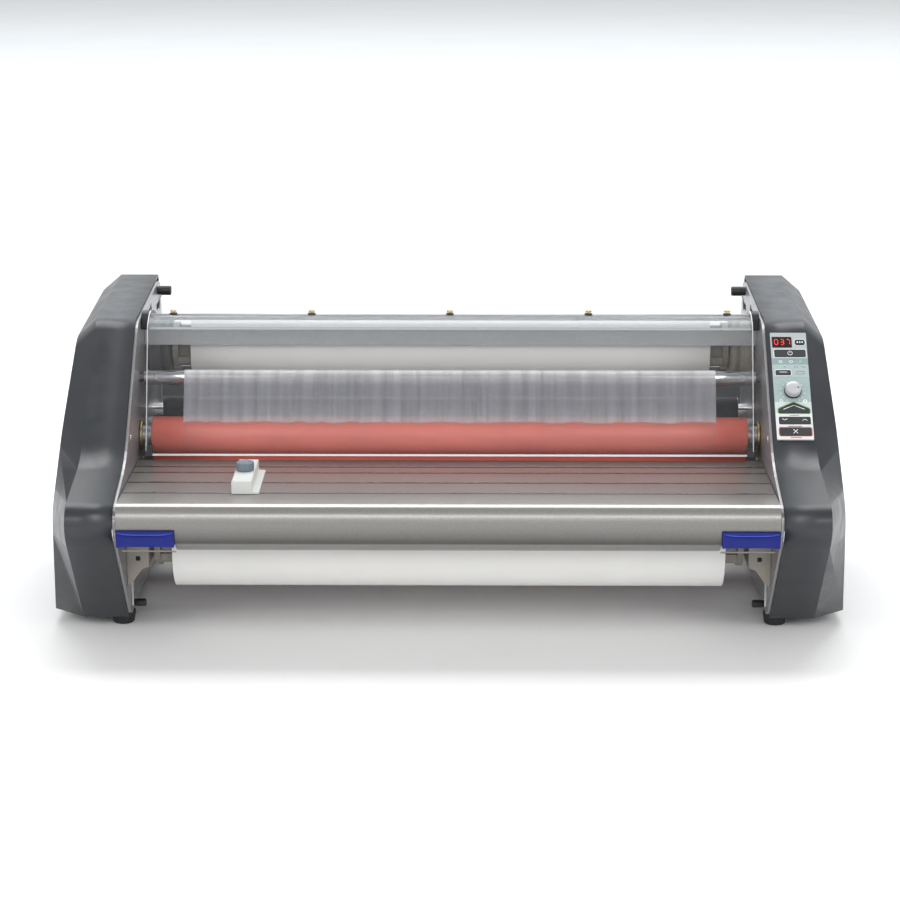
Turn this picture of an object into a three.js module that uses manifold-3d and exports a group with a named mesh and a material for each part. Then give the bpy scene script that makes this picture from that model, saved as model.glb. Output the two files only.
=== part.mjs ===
// Desktop roll laminator: two silicone heat rollers and two pull rollers between steel side plates,
// film supplies above and below, a lift-off feed table, a clear heat shield and moulded side covers.
// Units are millimetres, +Z is up, +X is the operator's right and -Y faces the operator.
import * as THREE from 'three';
import { mergeVertices } from 'three/addons/utils/BufferGeometryUtils.js';
import Module from 'manifold-3d';

const wasm = await Module();
wasm.setup();

// Driving dimensions. Heights and depths below are measured from the nip line, where the rollers meet.
const NIP_Y = -29.5;
const NIP_Z = 178;
const GAP = 0.3;
const RUNNING = 0.05;

const PLATE_IN = 371;
const PLATE_OUT = 374;
const COVER_WALL = 3;
const SIDE_LEAN = 0.0627;
const SIDE_X = 453.2;

const HEAT = { y: 30, z: 22.5, r: 22.2, shaft: 12.5, core: 17, half: 355.5 };
const PULL = { z: 19.5, r: 19.3, shaft: 8, half: 358 };
const IDLER = { y: 43, z: 90, r: 9, stub: 5 };
const LOWER_IDLER = { y: -2, z: -66 };

const MODULE = 1.5;
const TEETH = { heat: 30, pull: 26, idler: 64, pinion: 15 };
const GEAR_FROM = -390;
const GEAR_TO = -382;

const SUPPLY = { y: 151, z: 108, film: 41 };
const LOWER_SUPPLY = { y: -82, z: -76, film: 53 };
const CORE_R = 38.2;
const WEB_HALF = 317.5;
const MANDREL_HALF = 335;
const MANDREL_STUB = 8;

const SHIELD_ROD = { y: 75, z: 158, r: 4 };
const SHIELD_HALF = 361.5;
const SHEET = 2;

const TABLE_HALF = 370;
const TABLE_SKIN = 3;
const LATCH = { from: 305, to: 369.6, top: -27.6, bottom: -46 };

const PANEL = { x: 400, y: -30.5, z: 96.44, width: 42.5, height: 148.5, thick: 2 };
const BUTTON = { foot: -1.2, top: 3.1 };
const FEET_X = 383;
const FOOT_TOP = -163.3;
const FOOT_BOTTOM = -178;

// Colours, roughness and metalness.
const paint = (color, roughness, metalness = 0) =>
  new THREE.MeshStandardMaterial({ color, roughness, metalness });
const CHARCOAL = paint(0x3c4044, 0.4);
const ZINC = paint(0xa8a8aa, 0.4, 0.8);
const GREY_STEEL = paint(0x8f9193, 0.45, 0.7);
const BRIGHT = paint(0xc8c8ca, 0.2, 1);
const CHAMPAGNE = paint(0xa9a59e, 0.35, 0.8);
const BLUE = paint(0x2b37a0, 0.45);
const BLACK = paint(0x18191b, 0.6);
const SILICONE = paint(0xb8453a, 0.55);
const PULL_RUBBER = paint(0x4a4b4d, 0.7);
const BRASS = paint(0xa9864c, 0.4, 0.9);
const FILM = paint(0xdcdad4, 0.35);
const CLEAR = paint(0xdfe6e8, 0.08);
CLEAR.transparent = true;
CLEAR.opacity = 0.3;
const BEIGE = paint(0xa59e91, 0.5);
const OFF_WHITE = paint(0xe2e4e0, 0.5);
const SLATE = paint(0x6e7884, 0.5);
const PANEL_GREEN = paint(0xb9c8c2, 0.45);
const BUTTON_DARK = paint(0x2c3033, 0.5);
const KNOB_WHITE = paint(0xdedfe0, 0.25);
const NYLON = paint(0xe6e1d2, 0.6);

// ---- solids -------------------------------------------------------------------------------------

// A closed geometry as a solid that faces outwards.
function solid(geometry) {
  const bare = geometry.clone();
  bare.deleteAttribute('normal');
  bare.deleteAttribute('uv');
  const merged = mergeVertices(bare, 1e-4);
  const triVerts = new Uint32Array(merged.index.array);
  const vertProperties = new Float32Array(merged.attributes.position.array);
  const made = new wasm.Manifold(new wasm.Mesh({ numProp: 3, vertProperties, triVerts }));
  if (made.volume() >= 0) return made;
  for (let i = 0; i < triVerts.length; i += 3) {
    [triVerts[i + 1], triVerts[i + 2]] = [triVerts[i + 2], triVerts[i + 1]];
  }
  return new wasm.Manifold(new wasm.Mesh({ numProp: 3, vertProperties, triVerts }));
}

function geometryOf(made) {
  const mesh = made.getMesh();
  const geometry = new THREE.BufferGeometry();
  geometry.setAttribute('position', new THREE.BufferAttribute(new Float32Array(mesh.vertProperties), 3));
  geometry.setIndex(new THREE.BufferAttribute(new Uint32Array(mesh.triVerts), 1));
  geometry.computeVertexNormals();
  return geometry;
}

const join = (first, ...others) => geometryOf(others.reduce((a, b) => a.add(solid(b)), solid(first)));
const cut = (first, ...others) => geometryOf(others.reduce((a, b) => a.subtract(solid(b)), solid(first)));

// ---- outlines -----------------------------------------------------------------------------------

const toVector = (points) => points.map(([y, z]) => new THREE.Vector2(y, z));

// Rounds each corner of a closed loop of vectors with a short curve of its own radius.
function soften(corners, radii, steps = 4) {
  const count = corners.length;
  const rounded = [];
  corners.forEach((corner, i) => {
    const before = corners[(i + count - 1) % count];
    const after = corners[(i + 1) % count];
    const radius = Array.isArray(radii) ? radii[i] : radii;
    const reach = (other) => Math.min(radius, corner.distanceTo(other) * 0.45);
    const start = corner.clone().lerp(before, reach(before) / corner.distanceTo(before));
    const end = corner.clone().lerp(after, reach(after) / corner.distanceTo(after));
    for (let k = 0; k <= steps; k += 1) {
      const t = k / steps;
      const point = start.clone().multiplyScalar((1 - t) ** 2);
      point.addScaledVector(corner, 2 * t * (1 - t));
      point.addScaledVector(end, t * t);
      rounded.push(point);
    }
  });
  return rounded;
}

// Moves each side of a closed outline inwards by a distance.
function inset(points, distance) {
  const count = points.length;
  const turn = Math.sign(THREE.ShapeUtils.area(points));
  return points.map((point, i) => {
    const before = points[(i + count - 1) % count];
    const after = points[(i + 1) % count];
    const a = point.clone().sub(before).normalize();
    const b = after.clone().sub(point).normalize();
    const normalA = new THREE.Vector2(-a.y, a.x).multiplyScalar(turn);
    const normalB = new THREE.Vector2(-b.y, b.x).multiplyScalar(turn);
    const middle = normalA.clone().add(normalB);
    return point.clone().addScaledVector(middle, (2 * distance) / middle.lengthSq());
  });
}

// A strip of even thickness along an open path, as an outline.
function strip(path, thickness) {
  const sides = [[], []];
  path.forEach((point, i) => {
    const before = path[Math.max(i - 1, 0)];
    const after = path[Math.min(i + 1, path.length - 1)];
    const a = (i === 0 ? after.clone().sub(point) : point.clone().sub(before)).normalize();
    const b = (i === path.length - 1 ? point.clone().sub(before) : after.clone().sub(point)).normalize();
    const middle = new THREE.Vector2(-a.y - b.y, a.x + b.x);
    const offset = middle.multiplyScalar(thickness / middle.lengthSq());
    sides[0].push(point.clone().add(offset));
    sides[1].push(point.clone().sub(offset));
  });
  return [...sides[0], ...sides[1].reverse()];
}

function roundedRect(width, height, radius) {
  const x = width / 2;
  const y = height / 2;
  return soften(toVector([[-x, -y], [x, -y], [x, y], [-x, y]]), radius, 3);
}

function arc(y, z, radius, fromDeg, toDeg, steps) {
  const points = [];
  for (let k = 0; k <= steps; k += 1) {
    const angle = THREE.MathUtils.degToRad(fromDeg + ((toDeg - fromDeg) * k) / steps);
    points.push(new THREE.Vector2(y + radius * Math.cos(angle), z + radius * Math.sin(angle)));
  }
  return points;
}

// ---- pieces along X -----------------------------------------------------------------------------

// Turns a geometry made in X-Y and grown along Z into one made in Y-Z and grown along X.
const lieAlongX = (geometry) =>
  geometry.applyMatrix4(new THREE.Matrix4().set(0, 0, 1, 0, 1, 0, 0, 0, 0, 1, 0, 0, 0, 0, 0, 1));

function slab(outline, fromX, toX) {
  const shape = new THREE.Shape(outline);
  const grown = new THREE.ExtrudeGeometry(shape, { depth: toX - fromX, bevelEnabled: false });
  return lieAlongX(grown).translate(fromX, 0, 0);
}

function rod(radius, fromX, toX, y, z, sides = 20) {
  const cylinder = new THREE.CylinderGeometry(radius, radius, toX - fromX, sides);
  return cylinder.rotateZ(-Math.PI / 2).translate((fromX + toX) / 2, y, z);
}

// A bore whose flats clear a shaft of the given radius by the running clearance.
const bore = (radius, fromX, toX, y, z, sides = 20) =>
  rod((radius + RUNNING) / Math.cos(Math.PI / sides), fromX, toX, y, z, sides);

// A turned piece: [x, radius] pairs along X, closed on the axis.
function turned(steps, y, z, sides = 20) {
  const profile = steps.map(([x, radius]) => new THREE.Vector2(radius, x));
  const lathe = new THREE.LatheGeometry(profile, sides);
  return geometryOf(solid(lathe.rotateZ(-Math.PI / 2).translate(0, y, z)));
}

function block(fromX, toX, fromY, toY, fromZ, toZ) {
  const box = new THREE.BoxGeometry(toX - fromX, toY - fromY, toZ - fromZ);
  return box.translate((fromX + toX) / 2, (fromY + toY) / 2, (fromZ + toZ) / 2);
}

// The same piece on the other side of the machine.
const mirrored = (geometry) => geometryOf(solid(geometry.clone().scale(-1, 1, 1)));

// ---- gears --------------------------------------------------------------------------------------

// A spur gear's outline: one tooth is centred on the phase angle.
function gearOutline(teeth, phase) {
  const pitchRadius = (teeth * MODULE) / 2;
  const step = (2 * Math.PI) / teeth;
  const root = pitchRadius - 1.2 * MODULE;
  const tip = pitchRadius + 0.82 * MODULE;
  const corners = [[-0.31, root], [-0.11, tip], [0.11, tip], [0.31, root]];
  const points = [];
  for (let i = 0; i < teeth; i += 1) {
    for (const [fraction, radius] of corners) {
      const angle = phase + (i + fraction) * step;
      points.push(new THREE.Vector2(radius * Math.cos(angle), radius * Math.sin(angle)));
    }
  }
  return points;
}

function gear(teeth, phase, axis, boreRadius) {
  const wheel = slab(gearOutline(teeth, phase), GEAR_FROM, GEAR_TO).translate(0, axis.y, axis.z);
  return boreRadius ? cut(wheel, rod(boreRadius, GEAR_FROM - 1, GEAR_TO + 1, axis.y, axis.z)) : wheel;
}

const centreDistance = (a, b) => ((a + b) * MODULE) / 2;

// The phase that puts a second gear in mesh with a first one, seen in the given direction.
function meshedPhase(phase, teeth, otherTeeth, direction) {
  const along = (direction - phase) / ((2 * Math.PI) / teeth);
  return direction + Math.PI + (along + 0.5) * ((2 * Math.PI) / otherTeeth);
}

const away = (from, angle, distance) => ({
  y: from.y + distance * Math.cos(angle),
  z: from.z + distance * Math.sin(angle),
});

// The train: the motor pinion turns the idler gear, which turns the lower heat and pull rollers.
const heatToPull = 2 * centreDistance(TEETH.idler, 0) + centreDistance(TEETH.heat, TEETH.pull);
const pullRise = HEAT.z - PULL.z;
const pullY = HEAT.y + Math.sqrt(heatToPull ** 2 - pullRise ** 2);
const trainAngle = Math.atan2(pullRise, pullY - HEAT.y);
const pinionAngle = THREE.MathUtils.degToRad(-70);

const lowerHeat = { y: HEAT.y, z: -HEAT.z };
const upperHeat = { y: HEAT.y, z: HEAT.z };
const lowerPull = { y: pullY, z: -PULL.z };
const upperPull = { y: pullY, z: PULL.z };
const idlerGear = away(lowerHeat, trainAngle, centreDistance(TEETH.heat, TEETH.idler));
const pinion = away(idlerGear, pinionAngle, centreDistance(TEETH.idler, TEETH.pinion));

const up = Math.PI / 2;
const lowerHeatPhase = 0;
const upperHeatPhase = meshedPhase(lowerHeatPhase, TEETH.heat, TEETH.heat, up);
const idlerPhase = meshedPhase(lowerHeatPhase, TEETH.heat, TEETH.idler, trainAngle);
const lowerPullPhase = meshedPhase(idlerPhase, TEETH.idler, TEETH.pull, trainAngle);
const upperPullPhase = meshedPhase(lowerPullPhase, TEETH.pull, TEETH.pull, up);
const pinionPhase = meshedPhase(idlerPhase, TEETH.idler, TEETH.pinion, pinionAngle);

// ---- scene graph --------------------------------------------------------------------------------

const machine = new THREE.Group();
machine.position.set(0, NIP_Y, NIP_Z);

// The control face slopes down to the operator: its group has Z out of the face and Y up the slope.
const controlFace = new THREE.Group();
const SLOPE = Math.atan2(137, 139);
controlFace.position.set(PANEL.x, PANEL.y, PANEL.z);
controlFace.rotation.x = SLOPE;
machine.add(controlFace);

function add(name, geometry, material, group = machine) {
  const mesh = new THREE.Mesh(geometry, material);
  mesh.name = name;
  group.add(mesh);
}

// ---- side covers --------------------------------------------------------------------------------

// Cover corners as [y, z]: the long front outline, and the smaller outline of the leaning side face.
const COVER_FRONT = [
  [278, -166], [278, 176], [35, 161], [-104, 24], [-214, -4], [-221, -34], [-97, -166],
];
const COVER_SIDE = [
  [275, -163], [275, 157], [36, 140], [-64, 52], [-117, -20], [-123, -38], [-74, -163],
];
const CREASE_X = [427, 421, 421, 424, 427, 427, 427];
const COVER_RADII = [6, 10, 14, 24, 16, 26, 4];
const OPEN_BELOW = -176;

// Triangles across a flat ring, wound the same way round as the ring itself.
function capOf(ring) {
  const flat = ring.map((p) => new THREE.Vector2(p.y, p.z));
  const turn = Math.sign(THREE.ShapeUtils.area(flat));
  return THREE.ShapeUtils.triangulateShape(flat, []).map(([a, b, c]) => {
    const same = Math.sign(THREE.ShapeUtils.area([flat[a], flat[b], flat[c]])) === turn;
    return same ? [a, b, c] : [c, b, a];
  });
}

// Skins a row of matched rings of vectors and closes both ends.
function loft(rings) {
  const size = rings[0].length;
  const position = rings.flat().flatMap((p) => [p.x, p.y, p.z]);
  const index = [];
  for (let r = 0; r < rings.length - 1; r += 1) {
    for (let i = 0; i < size; i += 1) {
      const a = r * size + i;
      const b = r * size + ((i + 1) % size);
      index.push(a, b, b + size, a, b + size, a + size);
    }
  }
  const last = (rings.length - 1) * size;
  capOf(rings[0]).forEach(([a, b, c]) => index.push(c, b, a));
  capOf(rings[rings.length - 1]).forEach(([a, b, c]) => index.push(last + a, last + b, last + c));
  const geometry = new THREE.BufferGeometry();
  geometry.setAttribute('position', new THREE.Float32BufferAttribute(position, 3));
  geometry.setIndex(index);
  return geometry;
}

// One rounded ring of the cover, with X given for each corner.
const ringAt = (outline, xOf) =>
  soften(outline.map((p, i) => new THREE.Vector3(xOf(p, i), p.x, p.y)), COVER_RADII);

// Slides a bottom corner down the line from the corner above it, until it is under the cover.
function lowerAlong(corner, above) {
  const slope = (corner.x - above.x) / (corner.y - above.y);
  corner.x += slope * (OPEN_BELOW - corner.y);
  corner.y = OPEN_BELOW;
}

function coverBody(wall) {
  let front = toVector(COVER_FRONT);
  let side = toVector(COVER_SIDE);
  if (wall) {
    front = inset(front, wall);
    side = inset(side, wall);
    for (const outline of [front, side]) {
      lowerAlong(outline[0], outline[1]);
      lowerAlong(outline[6], outline[5]);
    }
  }
  const innerX = PLATE_OUT + GAP - (wall ? 1 : 0);
  const mouth = ringAt(front, () => innerX);
  const crease = ringAt(front, (p, i) => CREASE_X[i] - wall);
  const face = ringAt(side, (p) => SIDE_X - SIDE_LEAN * p.y - wall);
  return loft([mouth, crease, face]);
}

function onControlFace(geometry) {
  return geometry.rotateX(SLOPE).translate(PANEL.x, PANEL.y, PANEL.z);
}

const coverShell = cut(coverBody(0), coverBody(COVER_WALL));
const panelWindow = onControlFace(new THREE.BoxGeometry(39, 143, 20));
add('side_cover_left', mirrored(coverShell), CHARCOAL);
add('side_cover_right', cut(coverShell, panelWindow), CHARCOAL);

// ---- side plates, cross members and feet --------------------------------------------------------

const PLATE_CORNERS = [
  [274, -160], [274, 173], [36.5, 158], [-104, 21], [-210, -6], [-217, -34], [-101, -160],
];
const PLATE_RADII = [6, 34, 14, 30, 14, 24, 4];

function sidePlate(sign) {
  const outline = soften(toVector(PLATE_CORNERS), PLATE_RADII);
  const plate = slab(outline, PLATE_IN, PLATE_OUT);
  const ledge = block(359, PLATE_IN + 1, -180, -14, -6.3, -TABLE_SKIN - GAP);
  const footFlange = block(PLATE_IN + 1, 400, -90, 264, -163, -160.2);
  const flangeRoot = block(PLATE_IN, PLATE_OUT, -90, 264, -163, -158);
  const through = (radius, axis) => bore(radius, PLATE_IN - 2, PLATE_OUT + 2, axis.y, axis.z);
  const bushHole = (axis) => rod(14.6, PLATE_IN - 2, PLATE_OUT + 2, axis.y, axis.z);
  let made = join(plate, ledge, footFlange, flangeRoot);
  made = cut(made, bushHole(upperHeat), bushHole(lowerHeat));
  made = cut(made, through(PULL.shaft, upperPull), through(PULL.shaft, lowerPull));
  made = cut(made, through(IDLER.stub, IDLER), through(IDLER.stub, LOWER_IDLER));
  if (sign > 0) return made;
  const stud = rod(6, PLATE_OUT - 1, -GEAR_FROM + 3, idlerGear.y, idlerGear.z, 24);
  made = join(made, stud);
  return mirrored(cut(made, rod(8, PLATE_IN - 2, PLATE_OUT + 2, pinion.y, pinion.z, 24)));
}

add('side_plate_left', sidePlate(-1), ZINC);
add('side_plate_right', sidePlate(1), ZINC);

const panelEnd = PLATE_IN - GAP;
const rearUpper = [[250, 12], [250, 61], [238, 61], [238, 63], [252, 63], [252, 12]];
const rearLower = [[250, -12], [250, -148], [220, -148], [220, -150], [252, -150], [252, -12]];
const crossBar = [[93, 120], [93, 139], [108, 139], [108, 137], [95, 137], [95, 120]];
add('rear_panel_upper', slab(toVector(rearUpper), -panelEnd, panelEnd), GREY_STEEL);
add('rear_panel_lower', slab(toVector(rearLower), -panelEnd, panelEnd), GREY_STEEL);
add('upper_cross_bar', slab(toVector(crossBar), -panelEnd, panelEnd), GREY_STEEL);

for (const [end, y] of [['front', -76], ['rear', 245]]) {
  for (const [side, sign] of [['left', -1], ['right', 1]]) {
    const height = FOOT_TOP - FOOT_BOTTOM;
    const foot = new THREE.CylinderGeometry(14, 12.5, height, 24).rotateX(Math.PI / 2);
    add(`foot_${end}_${side}`, foot.translate(sign * FEET_X, y, FOOT_BOTTOM + height / 2), BLACK);
  }
}

for (const [side, sign] of [['left', -1], ['right', 1]]) {
  const span = (near, far) => [Math.min(sign * near, sign * far), Math.max(sign * near, sign * far)];
  const outer = PLATE_IN - GAP;
  add(`upper_stop_peg_${side}`, rod(6, ...span(353, outer), 230, 162, 20), BLACK);
  add(`lower_stop_peg_${side}`, rod(4.5, ...span(355, outer), -85, -152, 20), BLACK);
}

// ---- rollers ------------------------------------------------------------------------------------

function heatShaft(axis) {
  const { shaft, core, half } = HEAT;
  const neck = half - 0.5;
  const steps = [[-396, 0], [-396, shaft], [-neck, shaft], [-neck, core], [neck, core], [neck, shaft]];
  return turned([...steps, [378, shaft], [378, 0]], axis.y, axis.z);
}

function heatSleeve(axis) {
  const tube = rod(HEAT.r, -HEAT.half, HEAT.half, axis.y, axis.z, 32);
  return cut(tube, rod(HEAT.core + GAP, -HEAT.half - 1, HEAT.half + 1, axis.y, axis.z));
}

function bush(axis) {
  const flange = rod(17.5, 367.5, PLATE_IN - GAP, axis.y, axis.z);
  const body = rod(14, PLATE_IN - GAP - 0.5, 376.5, axis.y, axis.z);
  return cut(join(flange, body), bore(HEAT.shaft, 366, 378, axis.y, axis.z));
}

function pullRoller(axis, phase) {
  const { shaft, half, r } = PULL;
  const steps = [[-392, 0], [-392, shaft], [-half, shaft], [-half, r], [half, r], [half, shaft]];
  const roller = turned([...steps, [377, shaft], [377, 0]], axis.y, axis.z);
  return join(roller, gear(TEETH.pull, phase, axis));
}

function idlerRoller(axis, radius) {
  const { stub } = IDLER;
  const steps = [[-373, 0], [-373, stub], [-366, stub], [-366, radius], [366, radius], [366, stub]];
  return turned([...steps, [373, stub], [373, 0]], axis.y, axis.z);
}

for (const [name, axis] of [['upper', upperHeat], ['lower', lowerHeat]]) {
  add(`${name}_heat_shaft`, heatShaft(axis), BRIGHT);
  add(`${name}_heat_sleeve`, heatSleeve(axis), SILICONE);
  add(`${name}_heat_bush_right`, bush(axis), BRASS);
  add(`${name}_heat_bush_left`, mirrored(bush(axis)), BRASS);
}
add('upper_pull_roller', pullRoller(upperPull, upperPullPhase), PULL_RUBBER);
add('lower_pull_roller', pullRoller(lowerPull, lowerPullPhase), PULL_RUBBER);
add('upper_idler_roller', idlerRoller(IDLER, IDLER.r), BRIGHT);
add('lower_idler_roller', idlerRoller(LOWER_IDLER, IDLER.r), BRIGHT);

// ---- drive --------------------------------------------------------------------------------------

add('upper_heat_gear', gear(TEETH.heat, upperHeatPhase, upperHeat, HEAT.shaft + GAP), NYLON);
add('lower_heat_gear', gear(TEETH.heat, lowerHeatPhase, lowerHeat, HEAT.shaft + GAP), NYLON);
add('idler_gear', gear(TEETH.idler, idlerPhase, idlerGear, 6.12), NYLON);
const pinionShaft = rod(4, -366, GEAR_FROM - 1, pinion.y, pinion.z, 20);
add('motor_pinion', join(gear(TEETH.pinion, pinionPhase, pinion), pinionShaft), BRIGHT);
const motorSteps = [[-370.7, 0], [-370.7, 27], [-344, 27], [-344, 21], [-292, 21], [-288, 17], [-288, 0]];
const motorBore = bore(4, -372, -364, pinion.y, pinion.z, 20);
add('drive_motor', cut(turned(motorSteps, pinion.y, pinion.z), motorBore), GREY_STEEL);

// ---- film supplies ------------------------------------------------------------------------------

const CENTRE = new THREE.Vector2();

// A square extruded bar with a recess along each face.
function mandrelOutline() {
  const points = [];
  for (let side = 0; side < 4; side += 1) {
    const corners = [[22, -19], [22, -11], [18, -9], [18, 9], [22, 11], [22, 19]];
    for (const [across, along] of corners) {
      points.push(new THREE.Vector2(across, along).rotateAround(CENTRE, (side * Math.PI) / 2));
    }
  }
  return points;
}

function mandrel(axis, end) {
  const bar = slab(mandrelOutline(), -MANDREL_HALF, MANDREL_HALF).translate(0, axis.y, axis.z);
  const flanges = [-1, 1].map((sign) => {
    const inner = sign * (MANDREL_HALF - 1);
    const outer = sign * (MANDREL_HALF + 6);
    return rod(29, Math.min(inner, outer), Math.max(inner, outer), axis.y, axis.z);
  });
  return join(bar, ...flanges, rod(MANDREL_STUB, -end, end, axis.y, axis.z));
}

function filmRoll(axis) {
  const roll = rod(axis.film, -WEB_HALF, WEB_HALF, axis.y, axis.z, 36);
  return cut(roll, rod(CORE_R, -WEB_HALF - 1, WEB_HALF + 1, axis.y, axis.z, 28));
}

function supplyHub(axis) {
  const drum = rod(38, 343, 366.5, axis.y, axis.z, 28);
  const disc = rod(43, 366, PLATE_IN - GAP, axis.y, axis.z, 28);
  return cut(join(drum, disc), bore(MANDREL_STUB, 340, 362, axis.y, axis.z));
}

function lowerBracket(axis) {
  const outer = block(345, PLATE_IN - GAP, -128, -38, -119, -26);
  const hollow = block(347.5, 368, -125.5, -40.5, -125, -28.5);
  const peephole = block(355, 360, -130, -124, -84, -79);
  return cut(outer, hollow, peephole, bore(MANDREL_STUB, 344, 349, axis.y, axis.z));
}

add('upper_mandrel', mandrel(SUPPLY, 360), BEIGE);
add('lower_mandrel', mandrel(LOWER_SUPPLY, 360), BEIGE);
add('upper_film_roll', filmRoll(SUPPLY), FILM);
add('lower_film_roll', filmRoll(LOWER_SUPPLY), FILM);
add('upper_supply_hub_right', supplyHub(SUPPLY), BEIGE);
add('upper_supply_hub_left', mirrored(supplyHub(SUPPLY)), BEIGE);
add('lower_supply_bracket_right', lowerBracket(LOWER_SUPPLY), BEIGE);
add('lower_supply_bracket_left', mirrored(lowerBracket(LOWER_SUPPLY)), BEIGE);

// The film leaves the bottom of the upper roll, passes over the idler and wraps the heat roller.
const WEB_SKIN = 0.5;
const clear = WEB_SKIN / 2 + 0.35;
const webPath = [
  new THREE.Vector2(143, SUPPLY.z - Math.sqrt((SUPPLY.film + clear) ** 2 - 8 ** 2)),
  ...arc(IDLER.y, IDLER.z, IDLER.r + clear, 80, 158, 5),
  ...arc(HEAT.y, HEAT.z, HEAT.r + clear, 158, 262, 9),
];
add('upper_film_web', slab(strip(webPath, WEB_SKIN), -WEB_HALF, WEB_HALF), FILM);

// ---- feed table ---------------------------------------------------------------------------------

// The table's section: a flat top with shallow seams, a rolled nose and a folded lower lip.
function tableOutline() {
  const seams = [-38, -66, -112, -159, -205].flatMap((y) => [[y, 0], [y - 0.5, -0.8], [y - 1, 0]]);
  const nose = [[-211, -3], [-215.5, -9], [-217.8, -17], [-218.4, -26], [-217, -36], [-212, -45]];
  const lip = [[-203, -52], [-190, -58], [-191, -55.2], [-201, -49.6]];
  const inside = [[-209.6, -43], [-214, -35], [-215.4, -26], [-214.8, -18], [-212.8, -11], [-209, -6]];
  const under = [[-204.5, -TABLE_SKIN], [-6, -TABLE_SKIN], [-6, -12]];
  return toVector([[-3, -12], [-3, 0], ...seams, ...nose, ...lip, ...inside, ...under]);
}

// The end bays hold the latches, and the rear lip is notched to pass over the plates' ledges.
const latchBay = block(LATCH.from - 0.5, TABLE_HALF + 1, -230, -199, -62, LATCH.top + GAP);
const ledgeNotch = block(358, TABLE_HALF + 1, -8, -1, -14, -TABLE_SKIN);
const tableCuts = [latchBay, ledgeNotch].flatMap((piece) => [piece, piece.clone().scale(-1, 1, 1)]);
add('feed_table', cut(slab(tableOutline(), -TABLE_HALF, TABLE_HALF), ...tableCuts), CHAMPAGNE);

// A pull latch with a ledge over a scooped finger recess.
function latch() {
  const ledge = [[-206, LATCH.top], [-222, LATCH.top], [-222, -31], [-219, -32.5]];
  const scoop = [[-214, -37], [-214.5, -42], [-218, LATCH.bottom], [-208, LATCH.bottom]];
  const flange = [[-221, -29], [-220, -45], [-204, -45], [-204, -29]];
  const body = slab(toVector([...ledge, ...scoop, [-203.5, -40], [-203.5, -31]]), LATCH.from, LATCH.to);
  return join(body, slab(toVector(flange), LATCH.to - 3, LATCH.to));
}
add('latch_right', latch(), BLUE);
add('latch_left', mirrored(latch()), BLUE);

const guideRail = block(-223, -214, -164, -62, GAP, 3);
add('side_guide', join(block(-245, -222, -164, -62, GAP, 15.3), guideRail), OFF_WHITE);
const flutes = [];
for (let i = 0; i < 24; i += 1) {
  const angle = (i / 24) * 2 * Math.PI;
  const radius = i % 2 ? 9.4 : 10.5;
  flutes.push(new THREE.Vector2(radius * Math.cos(angle), radius * Math.sin(angle)));
}
const knobBody = new THREE.ExtrudeGeometry(new THREE.Shape(flutes), { depth: 10, bevelEnabled: false });
add('guide_knob', knobBody.translate(-233.5, -113, 15.6), SLATE);

// ---- heat shield --------------------------------------------------------------------------------

add('shield_rod', rod(SHIELD_ROD.r, -368, 368, SHIELD_ROD.y, SHIELD_ROD.z, 24), BRIGHT);
const shieldPath = toVector([[84, 163.8], [71, 163.8], [53, 156.5], [47.5, 152.5], [45.5, 148], [-2, 6]]);
add('heat_shield', slab(strip(shieldPath, SHEET), -SHIELD_HALF, SHIELD_HALF), CLEAR);
for (const [side, sign] of [['left', -1], ['right', 1]]) {
  const hinge = block(362.4, PLATE_IN - GAP, 63, 87, 144, 165);
  const bored = cut(hinge, bore(SHIELD_ROD.r, 360, 369, SHIELD_ROD.y, SHIELD_ROD.z, 24));
  add(`shield_hinge_${side}`, sign > 0 ? bored : mirrored(bored), BLACK);
}

// ---- control panel ------------------------------------------------------------------------------

const plateOf = (outline, fromZ, toZ) => {
  const shape = new THREE.Shape(outline);
  const grown = new THREE.ExtrudeGeometry(shape, { depth: toZ - fromZ, bevelEnabled: false });
  return grown.translate(0, 0, fromZ);
};

// Each button as [name, centre x, centre y, outline]; y runs up the slope.
const chevron = toVector([[-18, -7.4], [18, -7.4], [18, -1.5], [0, 7.4], [-18, -1.5]]);
const buttons = [
  ['standby_button', 13.2, 60.5, roundedRect(11.6, 7.5, 3)],
  ['power_button', 0.8, 45, roundedRect(36.4, 10.2, 1.5)],
  ['mode_button', -8.8, 17.9, roundedRect(17.5, 6.7, 1.5)],
  ['run_button', 0.6, -30.9, soften(chevron, 1.5, 3)],
  ['direction_button', 0.6, -48.5, roundedRect(36.4, 9.9, 1.5)],
  ['stop_button', 0.6, -63.6, roundedRect(36.4, 10.3, 1.5)],
];
const KNOB_Y = -8.3;

let panelPlate = plateOf(roundedRect(PANEL.width, PANEL.height, 1), GAP, GAP + PANEL.thick);
for (const [name, x, y, outline] of buttons) {
  const hole = plateOf(inset(outline, -GAP), -3, 6).translate(x, y, 0);
  panelPlate = cut(panelPlate, hole);
  add(name, plateOf(outline, BUTTON.foot, BUTTON.top).translate(x, y, 0), BUTTON_DARK, controlFace);
}
const spindleHole = new THREE.CylinderGeometry(3.4, 3.4, 8, 20).rotateX(Math.PI / 2);
spindleHole.translate(0.6, KNOB_Y, 0);
add('control_panel', cut(panelPlate, spindleHole), PANEL_GREEN, controlFace);

const spindle = [[0, -8], [3, -8], [3, 2.7]];
const knobProfile = [...spindle, [10.2, 2.7], [10.2, 4.2], [9.3, 5.2], [8.9, 11.6], [7.4, 13.4], [0, 14.2]];
const knob = new THREE.LatheGeometry(toVector(knobProfile), 24).rotateX(Math.PI / 2);
add('speed_knob', geometryOf(solid(knob)).translate(0.6, KNOB_Y, 0), KNOB_WHITE, controlFace);
add('control_board', plateOf(roundedRect(37, 136, 2), -14, -12.4), PANEL_GREEN, controlFace);

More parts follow.
